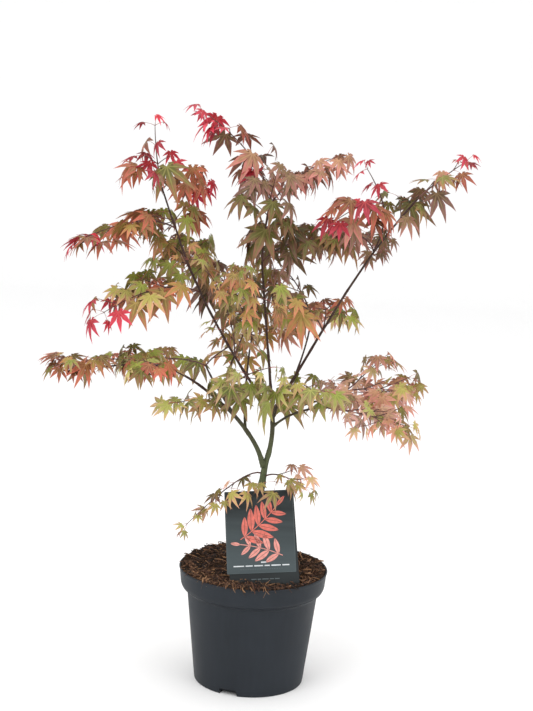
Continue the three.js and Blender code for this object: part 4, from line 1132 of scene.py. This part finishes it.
def leave_limb(path, radius, share_of, target):
    """Where a shoot leaves its limb: on the axis, moved by a share of the radius to the side it grows.
    Gives the place and the limb's direction there."""
    place = int(round(share_of * (len(path) - 1)))
    point = path[place]
    along = unit(path[min(place + 1, len(path) - 1)] - path[max(place - 1, 0)])
    towards = np.asarray(target, float) - point
    towards = unit(towards - towards.dot(along) * along)
    return point + LEAVE * radius * towards, along


def lay_limbs(level):
    """Each limb's path and radii, by name."""
    made = {}
    for name, parent, share_of, tip, bow, radii in LIMBS:
        start = np.array([*TRUNK_AT, level])
        if parent:
            path, (first, last) = made[parent]
            start, _ = leave_limb(path, first + (last - first) * share_of, share_of, tip)
        made[name] = (bowed_path(start, tip, bow), radii)
    return made


def softened(values, reach):
    """Values along a path, each replaced by a bell-weighted mean of its neighbours; ends kept."""
    steps = np.arange(-3 * reach, 3 * reach + 1)
    weights = np.exp(-(steps / reach) ** 2)
    weights /= weights.sum()
    padded = np.pad(values, [(3 * reach, 3 * reach)] + [(0, 0)] * (values.ndim - 1), mode="reflect",
                    reflect_type="odd")
    out = sum(w * padded[k:k + len(values)] for k, w in enumerate(weights))
    out[0], out[-1] = values[0], values[-1]
    return out


def bark_tube(names, limbs, settings, number):
    """One run as a tube. Its radius is the limbs' taper times the girth at its height, with two
    swellings exp(-d^2) beside each old leaf joint and ridges round it. The trunk gains the root flare
    exp(-distance / flare height), and any other run widens by exp(-distance / collar length) where
    it leaves its limb."""
    line = np.concatenate([limbs[name][0][1 if k else 0:] for k, name in enumerate(names)])
    taper = np.concatenate([np.linspace(*limbs[name][1], 61)[1 if k else 0:]
                            for k, name in enumerate(names)])
    gone = travelled(line)
    count = max(8, int(gone[-1] / STEP))
    at = np.linspace(0, gone[-1], count + 1)
    centre = softened(evenly(line, count), 4)
    radius = softened(np.interp(at, gone, taper), 4) * np.interp(centre[:, 2], *zip(*GIRTH))
    off_joint = np.abs((at + JOINT_SHIFT * number) % JOINT_GAP - JOINT_GAP / 2)
    swollen = np.exp(-((off_joint - KNUCKLE_ASIDE) / KNUCKLE_WIDTH) ** 2)
    radius = radius * (1 + settings.knuckle * swollen)
    if names[0] == "trunk":
        radius = radius + settings.flare * np.exp(-at / settings.flare_height)
    else:
        radius = radius * (1 + COLLAR * np.exp(-at / COLLAR_LENGTH))
    radius[-1] *= END_SHARE
    angle = 2 * np.pi * np.arange(SIDES) / SIDES
    around = np.stack(np.broadcast_arrays(np.cos(angle), np.sin(angle), at[:, None] / 14), -1)
    ridges = 1 + settings.relief * ripple(around, 40 + number, 10, 2.4)
    return tubes(centre[None], (radius[:, None] * ridges)[None], SIDES)


def build_limbs(settings, level):
    """Bark: the tubes of each group's runs, joined into one piece."""
    limbs = lay_limbs(level)
    finish = bark_finish(settings)
    for group, runs in RUNS.items():
        parts = [bark_tube(names, limbs, settings, number) for number, names in enumerate(runs)]
        slot = "bark_green" if group == "trunk_and_stems" else "bark_dark"
        add_piece(group, *joined(parts), [finish], slot, [name for names in runs for name in names])


# Growth

# How high over the floor a leaf keeps within a distance of the pot's axis, and how far from a limb
OVER_POT, POT_REACH = 224.0, 140.0
OFF_LIMB = 1.0

# The turn from one mass to the next, for pairs on an upright shoot, which is one where the square of
# its level part is less than UPRIGHT
NEXT_TURN = math.radians(137.5)
UPRIGHT = 0.06

# Along a shoot, as shares of its length: where its last side twig may stand, where side twigs and
# leaves take the tint of its tip, and up to where that tint is toned down beside crimson
LAST_TWIG, TWIG_TIP, LEAF_TIP, TONED_TIP = 0.92, 0.7, 0.72, 0.77

# The share of leaves near a tip that have its tint, and of leaves with a tint of their own
TIP_SHARE, OWN_SHARE = 0.85, 0.2

# How often a leaf is tried, and what it shrinks by each time
TRIES, SHRINK = 8, 0.96


class Row:
    """A seeded row of numbers from 0 to 1: state = (state * 1664525 + 1013904223) mod 2^32."""

    def __init__(self, seed):
        self.state = seed

    def next(self):
        self.state = (self.state * 1664525 + 1013904223) % 4294967296
        return self.state / 4294967296

    def spread(self, width):
        return (self.next() * 2 - 1) * width


def distances(points, starts, ends):
    """Distance of each point to each straight stretch: the point's foot on it is clamped to its
    ends."""
    along = ends - starts
    share_of = ((points[:, None] - starts) * along).sum(-1) / np.maximum((along * along).sum(-1), 1e-9)
    feet = starts + np.clip(share_of, 0, 1)[..., None] * along
    return np.linalg.norm(points[:, None] - feet, axis=-1)


def seen_flat(points):
    """Where points seem to lie on the upright plane through the pot's axis, seen from the eye: eye
    plus (point - eye) times the eye's distance over the point's. Gives x and z."""
    away = points - EYE
    return (EYE + away * (-EYE[1] / away[..., 1])[..., None])[..., [0, 2]]


class Space:
    """Who owns which part of the crown: a point belongs to the mass whose stem is nearest, and no
    leaf may touch a limb, the label or the compost, or hang before a limb that shows."""

    def __init__(self, limbs, stems, overlap):
        self.overlap = overlap
        self.low = np.array(FRAME_BOUNDS[0]) / MM - PAST_FRAME
        self.high = np.array(FRAME_BOUNDS[1]) / MM + PAST_FRAME
        self.stem_from = np.concatenate([s[:-1] for s in stems])
        self.stem_to = np.concatenate([s[1:] for s in stems])
        self.first = np.cumsum([0] + [len(s) - 1 for s in stems])[:-1]
        coarse = {name: path[::6] for name, (path, _) in limbs.items()}
        self.limb_from = np.concatenate([p[:-1] for p in coarse.values()])
        self.limb_to = np.concatenate([p[1:] for p in coarse.values()])
        self.limb_radius = np.concatenate(
            [np.full(len(p) - 1, limbs[name][1][0]) for name, p in coarse.items()])
        high = [coarse[name][coarse[name][:, 2] > SHOWN_FROM] for name in SHOWN]
        self.shown_from = np.concatenate([seen_flat(line[:-1]) for line in high])
        self.shown_to = np.concatenate([seen_flat(line[1:]) for line in high])
        self.shown_depth = np.concatenate([line[:-1, 1] for line in high])

    def hides(self, points):
        """Whether some of a leaf's points lie in front of a limb that shows, near its line."""
        near = distances(seen_flat(points), self.shown_from, self.shown_to) < SHOWN_GAP
        return (near & (points[:, 1][:, None] < self.shown_depth)).any()

    def free(self, points, mass, reach):
        """Whether every point lies in the mass's own space, within its reach, and clear."""
        if (points < self.low).any() or (points > self.high).any():
            return False
        if (points[:, 2][np.hypot(points[:, 0], points[:, 1]) < POT_REACH] < OVER_POT).any():
            return False
        to_stems = np.minimum.reduceat(distances(points, self.stem_from, self.stem_to), self.first, 1)
        own = to_stems[:, mass].copy()
        to_stems[:, mass] = np.inf
        if (own > reach).any() or (own > to_stems.min(1) + self.overlap).any():
            return False
        if (distances(points, self.limb_from, self.limb_to) < self.limb_radius + OFF_LIMB).any():
            return False
        return not self.by_label(points)

    @staticmethod
    def by_label(points):
        """Whether a point lies by the label's cards."""
        local = (points - CARD_FOOT) @ CARD_LEAN @ CARD_TURN
        wide, deep, high = LABEL_BOX
        beside = (np.abs(local[:, 0]) < wide) & (np.abs(local[:, 1] - 1) < deep)
        return (beside & (local[:, 2] < high)).any()


# Blade, of length 1: for each lobe its angle in degrees and its length
LOBES = [(-118, 0.26), (-78, 0.6), (-38, 0.92), (0, 1.0), (38, 0.92), (78, 0.6), (118, 0.26)]

# Half the width of the longest lobe
LOBE_WIDTH = 0.132

# A lobe's points: along in its lengths, aside in its widths, height, and how far across
LOBE_POINTS = [
    (0.46, 0.0, -0.016, 0.0), (0.74, 0.0, -0.012, 0.0), (1.0, 0.0, 0.0, 0.5),
    (0.45, -1.0, 0.014, 1.0), (0.74, -0.5, 0.01, 1.0),
    (0.45, 1.0, 0.014, 1.0), (0.74, 0.5, 0.01, 1.0),
]

# The notches before, between and after the lobes: how far each lies from the joint, its height and
# how far across it counts, and the angle from the outer lobes to the outer notches
NOTCHES = [0.105, 0.18, 0.25, 0.25, 0.25, 0.25, 0.18, 0.105]
NOTCH_HEIGHT, NOTCH_ACROSS, OUTER_NOTCH = 0.012, 0.6, 0.42

# How far the tips hang, of the blade's length
BLADE_CURL = 0.42


def blade_pattern():
    """One leaf of length 1 along +X: seven pointed lobes folded along their ribs. Gives points,
    quads, triangles and, for each point, how far it lies across its lobe."""
    points, across = [(0.0, 0.0, 0.0)], [0.0]
    angles = [math.radians(angle) for angle, _ in LOBES]
    between = [(a + b) / 2 for a, b in zip(angles, angles[1:])]
    for angle, reach in zip([angles[0] - OUTER_NOTCH, *between, angles[-1] + OUTER_NOTCH], NOTCHES):
        points.append((reach * math.cos(angle), reach * math.sin(angle), NOTCH_HEIGHT))
        across.append(NOTCH_ACROSS)
    quads, triangles = [], []
    for notch, (angle, (_, length)) in enumerate(zip(angles, LOBES), 1):
        c, s = math.cos(angle), math.sin(angle)
        width = LOBE_WIDTH * (0.55 + 0.45 * length)
        rib, far, tip, right, right_far, left, left_far = range(len(points), len(points) + 7)
        for along, aside, height, edge in LOBE_POINTS:
            along, aside = along * length, aside * width
            points.append((along * c - aside * s, along * s + aside * c, height))
            across.append(edge)
        quads += [(0, notch, right, rib), (rib, right, right_far, far),
                  (0, rib, left, notch + 1), (rib, far, left_far, left)]
        triangles += [(far, right_far, tip), (far, tip, left_far)]
    return np.array(points), np.array(quads), np.array(triangles), np.array(across)


BLADE, BLADE_QUADS, BLADE_TRIANGLES, BLADE_ACROSS = blade_pattern()

# The points of a blade that are tried against the space: its joint, notches, tips and outer ribs
PROBE = BLADE[[*range(9), *range(11, len(BLADE), 7), *range(10, len(BLADE), 7)]]


def bent(points, size_mm, curl):
    """Points of a blade at its size, lowered by curl times the square of their distance from the
    joint, so that the tips hang."""
    return size_mm * (points - curl * UP * (points[:, :2] ** 2).sum(1)[:, None])


class Mass:
    """One mass of foliage as it grows: its twigs, stalks and leaves."""

    def __init__(self, number, spec, limbs, settings):
        name, limb, share_of, end, self.leaf, self.twig, self.flat, *rest = spec
        self.droop, self.roll, seed, sprays = rest
        slot, self.tints, self.tip = SPRAYS[sprays]
        self.name = "mass_" + name
        self.slot = "leaves_" + slot
        path, (first, last) = limbs[limb]
        radius = first + (last - first) * share_of
        start, along = leave_limb(path, radius, share_of, end)
        end = np.asarray(end, float)
        length = np.linalg.norm(end - start)
        bow = 0.12 * (along * length - (end - start))
        self.stem = bowed_path(start, end, bow)
        self.stem_radii = (min(0.8 * radius, 1.45), 0.6)
        self.number = number
        self.facing = number * NEXT_TURN
        self.reach = 2.2 * self.twig + self.leaf + settings.stalk_long
        self.row = Row(seed)
        self.settings = settings
        self.twigs, self.stalks, self.leaves = [], [], []

    def grow(self, space):
        """Pairs along the stem, with a leaf at its tip. The stem ends at its last leaf."""
        self.space = space
        leaf = self.leaf * self.settings.leaf_scale
        bearing = self.pairs(self.stem, leaf, self.settings.tip_shrink, 2, None)
        self.shoot = self.stem[:max(bearing, 12) + 1]

    def pairs(self, path, leaf, shrink, depth, tint):
        """Opposite pairs along one shoot, each side a twig or a leaf. Every second pair is turned
        across the shoot, the more the less flat the mass is, and each up to 20 degrees at random.
        A leaf's size is the full one * (1 - shrink * gone^2). depth is how many more times side
        twigs may branch off. Gives the place of the last pair that bears."""
        row, length = self.row, path_length(path)
        count = max(1, round(length / self.settings.internode))
        last = len(path) - 1
        bearing = 0
        odds = self.settings.twig_share * (0.5 + 0.25 * depth)
        for pair in range(1, count + 1):
            gone = pair / count * (1 - 2.0 / length)
            place = min(last - 1, max(1, int(round(gone * last))))
            point = path[place]
            along = unit(path[place + 1] - path[place - 1])
            level = np.cross(along, UP)
            if level @ level < UPRIGHT:
                level = np.array([math.cos(self.facing), math.sin(self.facing), 0.0])
            level = unit(level)
            crossing = np.cross(level, along)
            crossed = 90 * (1 - self.flat) if pair % 2 == 0 else 0
            turn = math.radians(crossed + row.spread(20))
            size_mm = leaf * (1 - shrink * gone * gone)
            for side in (-1, 1):
                outward = side * (math.cos(turn) * level + math.sin(turn) * crossing)
                wants = depth > 0 and gone < LAST_TWIG and row.next() < odds
                if wants and self.side_twig(point, along, outward, gone, size_mm, depth):
                    bearing = place
                elif self.leaf_on(point, along, outward, size_mm, tint, gone if depth == 2 else 0.5):
                    bearing = place
        ahead = unit(path[-1] - path[-3])
        tip = 1.0 if depth == 2 else 0.6
        if self.leaf_on(path[-1] - ahead, ahead, ahead, leaf * (1 - shrink), tint, tip):
            bearing = last
        return bearing

    def side_twig(self, point, along, outward, gone, size_mm, depth):
        """A side twig of the shoot, with its own pairs, up to its last leaf, where it stays in the
        mass's space. It is shorter near the shoot's end, 0.75 to 1.25 of that at random, and a side
        twig's own side twigs are 0.6 as long."""
        row = self.row
        length = self.twig * (1.2 - 0.5 * gone) * (0.75 + 0.5 * row.next())
        length *= 1.0 if depth == 2 else 0.6
        heading = unit(0.6 * along + outward + (0.12 + row.spread(0.12)) * UP)
        end = point + heading * length
        path = bowed_path(point, end, along * 0.05 * length, 10)
        if not self.space.free(path[3:], self.number, self.reach):
            return False
        tint = self.deal()
        if gone > TWIG_TIP:
            tint = self.tip_tint(gone)
        bearing = self.pairs(path, size_mm * 0.97, 0.15, depth - 1, tint)
        if bearing > 0:
            shoot = evenly(path[:bearing + 1], 7)
            self.twigs.append((shoot, (0.95, 0.62) if depth == 2 else (0.7, 0.5)))
        return bearing > 0

    def tip_tint(self, gone):
        """The tint near the end of a shoot: the mass's tip tint, or, next to crimson tips, one
        between it and the rest."""
        return "orange_red" if self.tip == "crimson" and gone < TONED_TIP else self.tip

    def deal(self):
        """The tint of a spray."""
        return self.tints[int(self.row.next() * len(self.tints)) % len(self.tints)]

    def leaf_on(self, point, along, outward, full, tint, gone):
        """A leaf on its stalk, 0.62 to 1.16 of its full size, tried a few times until it lies in the
        mass's space. Its stalk goes outward and along the shoot with a random part, the blade is
        turned up to 32 degrees from it, and it droops by 0.8 of the mass's droop, up to 22 degrees
        more or less. The stalk is a curve (1-t)^2 a + 2t(1-t) m + t^2 b. Gives whether it fits."""
        row, settings = self.row, self.settings
        first = full * (0.62 + 0.54 * row.next())
        for attempt in range(TRIES):
            size_mm = first * SHRINK**attempt
            stalk = outward + 0.45 * along + (row.spread(0.2) + 0.02) * UP
            stalk = unit(stalk + np.array([row.spread(0.35), row.spread(0.35), row.spread(0.2)]))
            reach = settings.stalk_short + (settings.stalk_long - settings.stalk_short) * row.next()
            reach *= 0.45 + 0.55 * size_mm / self.leaf
            joint = point + stalk * reach - UP * 0.1 * reach
            heading = math.atan2(stalk[1], stalk[0]) + math.radians(row.spread(32))
            droop = math.radians(0.8 * self.droop + row.spread(22))
            roll = math.radians(row.spread(self.roll))
            turned = rotation(2, heading) @ rotation(1, droop) @ rotation(0, roll)
            curl = BLADE_CURL * (0.5 + row.next())
            if any(np.linalg.norm(joint - other[0]) < settings.apart for other in self.leaves):
                continue
            probe = bent(PROBE, size_mm, curl) @ turned.T + joint
            if not self.space.hides(probe) and self.space.free(probe, self.number, self.reach):
                break
        else:
            return False
        chosen = tint or self.deal()
        if row.next() < OWN_SHARE:
            chosen = self.deal()
        if gone > LEAF_TIP and row.next() < TIP_SHARE:
            chosen = self.tip_tint(gone)
        middle = (point + joint) / 2 + UP * 0.12 * reach
        t = np.linspace(0, 1, 5)[:, None]
        self.stalks.append((1 - t) ** 2 * point + 2 * t * (1 - t) * middle + t * t * joint)
        self.leaves.append((joint, turned, size_mm, curl, chosen))
        return True


def grow_masses(limbs, settings):
    """Every mass, each grown in its own space."""
    masses = [Mass(number, spec, limbs, settings) for number, spec in enumerate(MASSES)]
    space = Space(limbs, [mass.stem[::10] for mass in masses], settings.overlap)
    for mass in masses:
        mass.grow(space)
    return masses


def build_leaves(masses):
    """Leaves: the blade pattern turned, scaled and hung for each leaf in one array, joined into one
    piece for each of the record's leaf slots."""
    finishes = {name: leaf_finish(name, *pair) for name, pair in TINTS.items()}
    tones = np.random.default_rng(31)
    slots = {}
    for mass in masses:
        slots.setdefault(mass.slot, []).append(mass)
    for slot, owners in slots.items():
        joints, turned, sizes, curls, tints = zip(*(leaf for mass in owners for leaf in mass.leaves))
        blades = [bent(BLADE, size_mm, curl) for size_mm, curl in zip(sizes, curls)]
        points = np.einsum("nij,nvj->nvi", turned, blades) + np.array(joints)[:, None]
        count = len(joints)
        shift = len(BLADE) * np.arange(count)[:, None, None]
        quads = (BLADE_QUADS[None] + shift).reshape(-1, 4)
        triangles = (BLADE_TRIANGLES[None] + shift).reshape(-1, 3)
        used = sorted(set(tints))
        tint = np.array([used.index(name) for name in tints])
        face_tint = [np.repeat(tint, len(faces)) for faces in (BLADE_QUADS, BLADE_TRIANGLES)]
        values = {
            "across": np.tile(BLADE_ACROSS, count),
            "along": np.tile(np.hypot(BLADE[:, 0], BLADE[:, 1]), count),
            # Each leaf's tone, at random: partly its own tone, partly painted shade and painted light
            "tone": np.repeat(tones.uniform(0, 1, count), len(BLADE)),
        }
        add_piece(slot, points.reshape(-1, 3), [quads, triangles], [finishes[name] for name in used],
                  slot, [mass.name for mass in owners], np.concatenate(face_tint), values=values)


def build_twigs(masses, settings):
    """Twigs: every stem, side twig and leaf stalk as a tapering tube, joined into one piece."""
    stems = np.array([evenly(mass.shoot, 17) for mass in masses])
    stem_radii = np.array([np.linspace(*mass.stem_radii, 18) for mass in masses])
    twigs = np.array([path for mass in masses for path, _ in mass.twigs])
    twig_radii = np.array([np.linspace(*radii, 8) for mass in masses for _, radii in mass.twigs])
    stalks = np.array([path for mass in masses for path in mass.stalks])
    stalk_radii = np.tile([0.5, 0.36, 0.32, 0.34, 0.42], (len(stalks), 1))
    parts = [tubes(stems, stem_radii, 8), tubes(twigs, twig_radii, 6), tubes(stalks, stalk_radii, 5)]
    counts = [len(quads) for _, (quads, _) in parts] + [len(caps) for _, (_, caps) in parts]
    bark, stalk = 0, 1
    kinds = np.repeat([bark, bark, stalk, bark, bark, stalk], counts)
    finishes = [
        plain_finish("twig_bark", settings.twig, 0.55, patch=60.0, spread=0.28, depth=0.0003),
        plain_finish("leaf_stalk", settings.stalk, 0.5, patch=25.0, spread=0.3, grain=900.0),
    ]
    add_piece("twigs", *joined(parts), finishes, "bark_dark", [], kinds)


# Stage, in metres

# The floor's front, where it starts to rise, the radius of the rise, the backdrop's top and half
# its width
FLOOR_FRONT, FLOOR_BACK, RISE, BACKDROP_TOP, HALF_WIDTH = -7.0, 5.2, 1.0, 6.0, 8.0

# Soft lights: name, place and width, and the height on the plant that they aim at
LIGHTS = [("key", (-1.6, -2.0, 2.3), 1.7), ("fill", (2.0, -1.6, 1.5), 1.8), ("top", (0.2, 0.3, 2.7), 2.2)]
AIM = 0.45


def build_backdrop(settings):
    """A pale floor that curves up into a backdrop by a quarter of a circle."""
    bend = np.linspace(0, np.pi / 2, 24)
    rise = np.stack([FLOOR_BACK + RISE * np.sin(bend), RISE * (1 - np.cos(bend))], 1)
    profile = np.concatenate([[[FLOOR_FRONT, 0.0]], rise, [[FLOOR_BACK + RISE, BACKDROP_TOP]]])
    across = np.linspace(-HALF_WIDTH, HALF_WIDTH, 3)
    rows = np.stack(np.broadcast_arrays(across, profile[:, :1], profile[:, 1:]), -1)
    index = np.arange(rows[..., 0].size).reshape(rows.shape[:2])
    faces = np.stack([index[:-1, :-1], index[:-1, 1:], index[1:, 1:], index[1:, :-1]], -1).reshape(-1, 4)
    mesh = bpy.data.meshes.new("backdrop")
    mesh.from_pydata(rows.reshape(-1, 3).tolist(), [], faces.tolist())
    mesh.polygons.foreach_set("use_smooth", np.full(len(faces), True))
    material, _, shader = start_material("backdrop", 0.9, 0.1)
    shader.inputs["Base Color"].default_value = linear(settings.floor)
    mesh.materials.append(material)
    backdrop = bpy.data.objects.new("backdrop", mesh)
    bpy.context.scene.collection.objects.link(backdrop)


def build_stage(settings):
    """The stage: floor and backdrop, large soft lights, an even sky and the camera."""
    scene = bpy.context.scene
    build_backdrop(settings)
    for (name, place, width), power in zip(LIGHTS, (settings.key, settings.fill, settings.fill)):
        data = bpy.data.lights.new(name, "AREA")
        data.size, data.energy = width, power
        lamp = bpy.data.objects.new(name, data)
        lamp.matrix_world = look_matrix(unit(np.array(place) - AIM * UP), place)
        scene.collection.objects.link(lamp)
    world = scene.world or bpy.data.worlds.new("studio")
    scene.world = world
    world.use_nodes = True
    sky = world.node_tree.nodes["Background"]
    sky.inputs["Color"].default_value = (1, 1, 1, 1)
    sky.inputs["Strength"].default_value = settings.sky
    scene.view_settings.view_transform = "Standard"
    data = bpy.data.cameras.new("camera")
    data.lens, data.sensor_width = settings.lens, 36.0
    camera = bpy.data.objects.new("camera", data)
    turned = rotation(0, math.pi / 2 - settings.pitch) @ rotation(2, settings.roll)
    camera.matrix_world = placed(turned, (settings.aside, -settings.distance, settings.height))
    scene.collection.objects.link(camera)
    scene.camera = camera


def placed(turned, place):
    """A 4 by 4 matrix from a rotation and a place."""
    whole = np.eye(4)
    whole[:3, :3] = turned
    whole[:3, 3] = place
    return Matrix(whole.tolist())


def look_matrix(back, place):
    """A lamp's matrix whose own Z points along back, away from what it lights."""
    side = unit(np.cross(UP, back))
    return placed(np.stack([side, np.cross(back, side), back], 1), place)


# Operators


class MAPLE_OT_stage(bpy.types.Operator):
    """Build the floor, the lights and the camera"""

    bl_idname = "maple.stage"
    bl_label = "Stage"

    def execute(self, context):
        build_stage(context.scene.maple_stage)
        return {"FINISHED"}


class MAPLE_OT_pot(bpy.types.Operator):
    """Build the nursery pot"""

    bl_idname = "maple.pot"
    bl_label = "Pot"

    def execute(self, context):
        build_pot(context.scene.maple_pot)
        return {"FINISHED"}


class MAPLE_OT_compost(bpy.types.Operator):
    """Build the compost with its fibres and crumbs"""

    bl_idname = "maple.compost"
    bl_label = "Compost"

    def execute(self, context):
        build_compost(context.scene.maple_compost)
        return {"FINISHED"}


class MAPLE_OT_label(bpy.types.Operator):
    """Build the plant label"""

    bl_idname = "maple.label"
    bl_label = "Label"

    def execute(self, context):
        build_label(context.scene.maple_label)
        return {"FINISHED"}


class MAPLE_OT_limbs(bpy.types.Operator):
    """Build the bark of the trunk, stems and boughs"""

    bl_idname = "maple.limbs"
    bl_label = "Trunk and boughs"

    def execute(self, context):
        build_limbs(context.scene.maple_limbs, ground_level(context.scene.maple_compost))
        return {"FINISHED"}


class MAPLE_OT_foliage(bpy.types.Operator):
    """Grow the twigs and leaves"""

    bl_idname = "maple.foliage"
    bl_label = "Twigs and leaves"

    def execute(self, context):
        scene = context.scene
        limbs = lay_limbs(ground_level(scene.maple_compost))
        masses = grow_masses(limbs, scene.maple_foliage)
        build_twigs(masses, scene.maple_foliage)
        build_leaves(masses)
        return {"FINISHED"}


class MAPLE_PT_panel(bpy.types.Panel):
    """The maple's steps and sizes"""

    bl_label = "Potted Maple"
    bl_idname = "MAPLE_PT_panel"
    bl_space_type = "VIEW_3D"
    bl_region_type = "UI"
    bl_category = "Maple"

    def draw(self, context):
        for step in STEPS:
            self.layout.operator(step.bl_idname)
        for name in SETTINGS:
            group = getattr(context.scene, name)
            box = self.layout.box()
            for label in group.__annotations__:
                box.prop(group, label)


STEPS = [
    MAPLE_OT_stage,
    MAPLE_OT_pot,
    MAPLE_OT_compost,
    MAPLE_OT_label,
    MAPLE_OT_limbs,
    MAPLE_OT_foliage,
]
SETTINGS = {
    "maple_pot": MaplePotSettings,
    "maple_compost": MapleCompostSettings,
    "maple_label": MapleLabelSettings,
    "maple_limbs": MapleLimbSettings,
    "maple_foliage": MapleFoliageSettings,
    "maple_stage": MapleStageSettings,
}


def register():
    for made in [*SETTINGS.values(), *STEPS, MAPLE_PT_panel]:
        bpy.utils.register_class(made)
    for name, group in SETTINGS.items():
        setattr(bpy.types.Scene, name, PointerProperty(type=group))


def unregister():
    for name in SETTINGS:
        delattr(bpy.types.Scene, name)
    for made in reversed([*SETTINGS.values(), *STEPS, MAPLE_PT_panel]):
        bpy.utils.unregister_class(made)


def main():
    """Builds every piece in order."""
    register()
    bpy.ops.maple.stage()
    bpy.ops.maple.pot()
    bpy.ops.maple.compost()
    bpy.ops.maple.label()
    bpy.ops.maple.limbs()
    bpy.ops.maple.foliage()


if __name__ == "__main__":
    main()
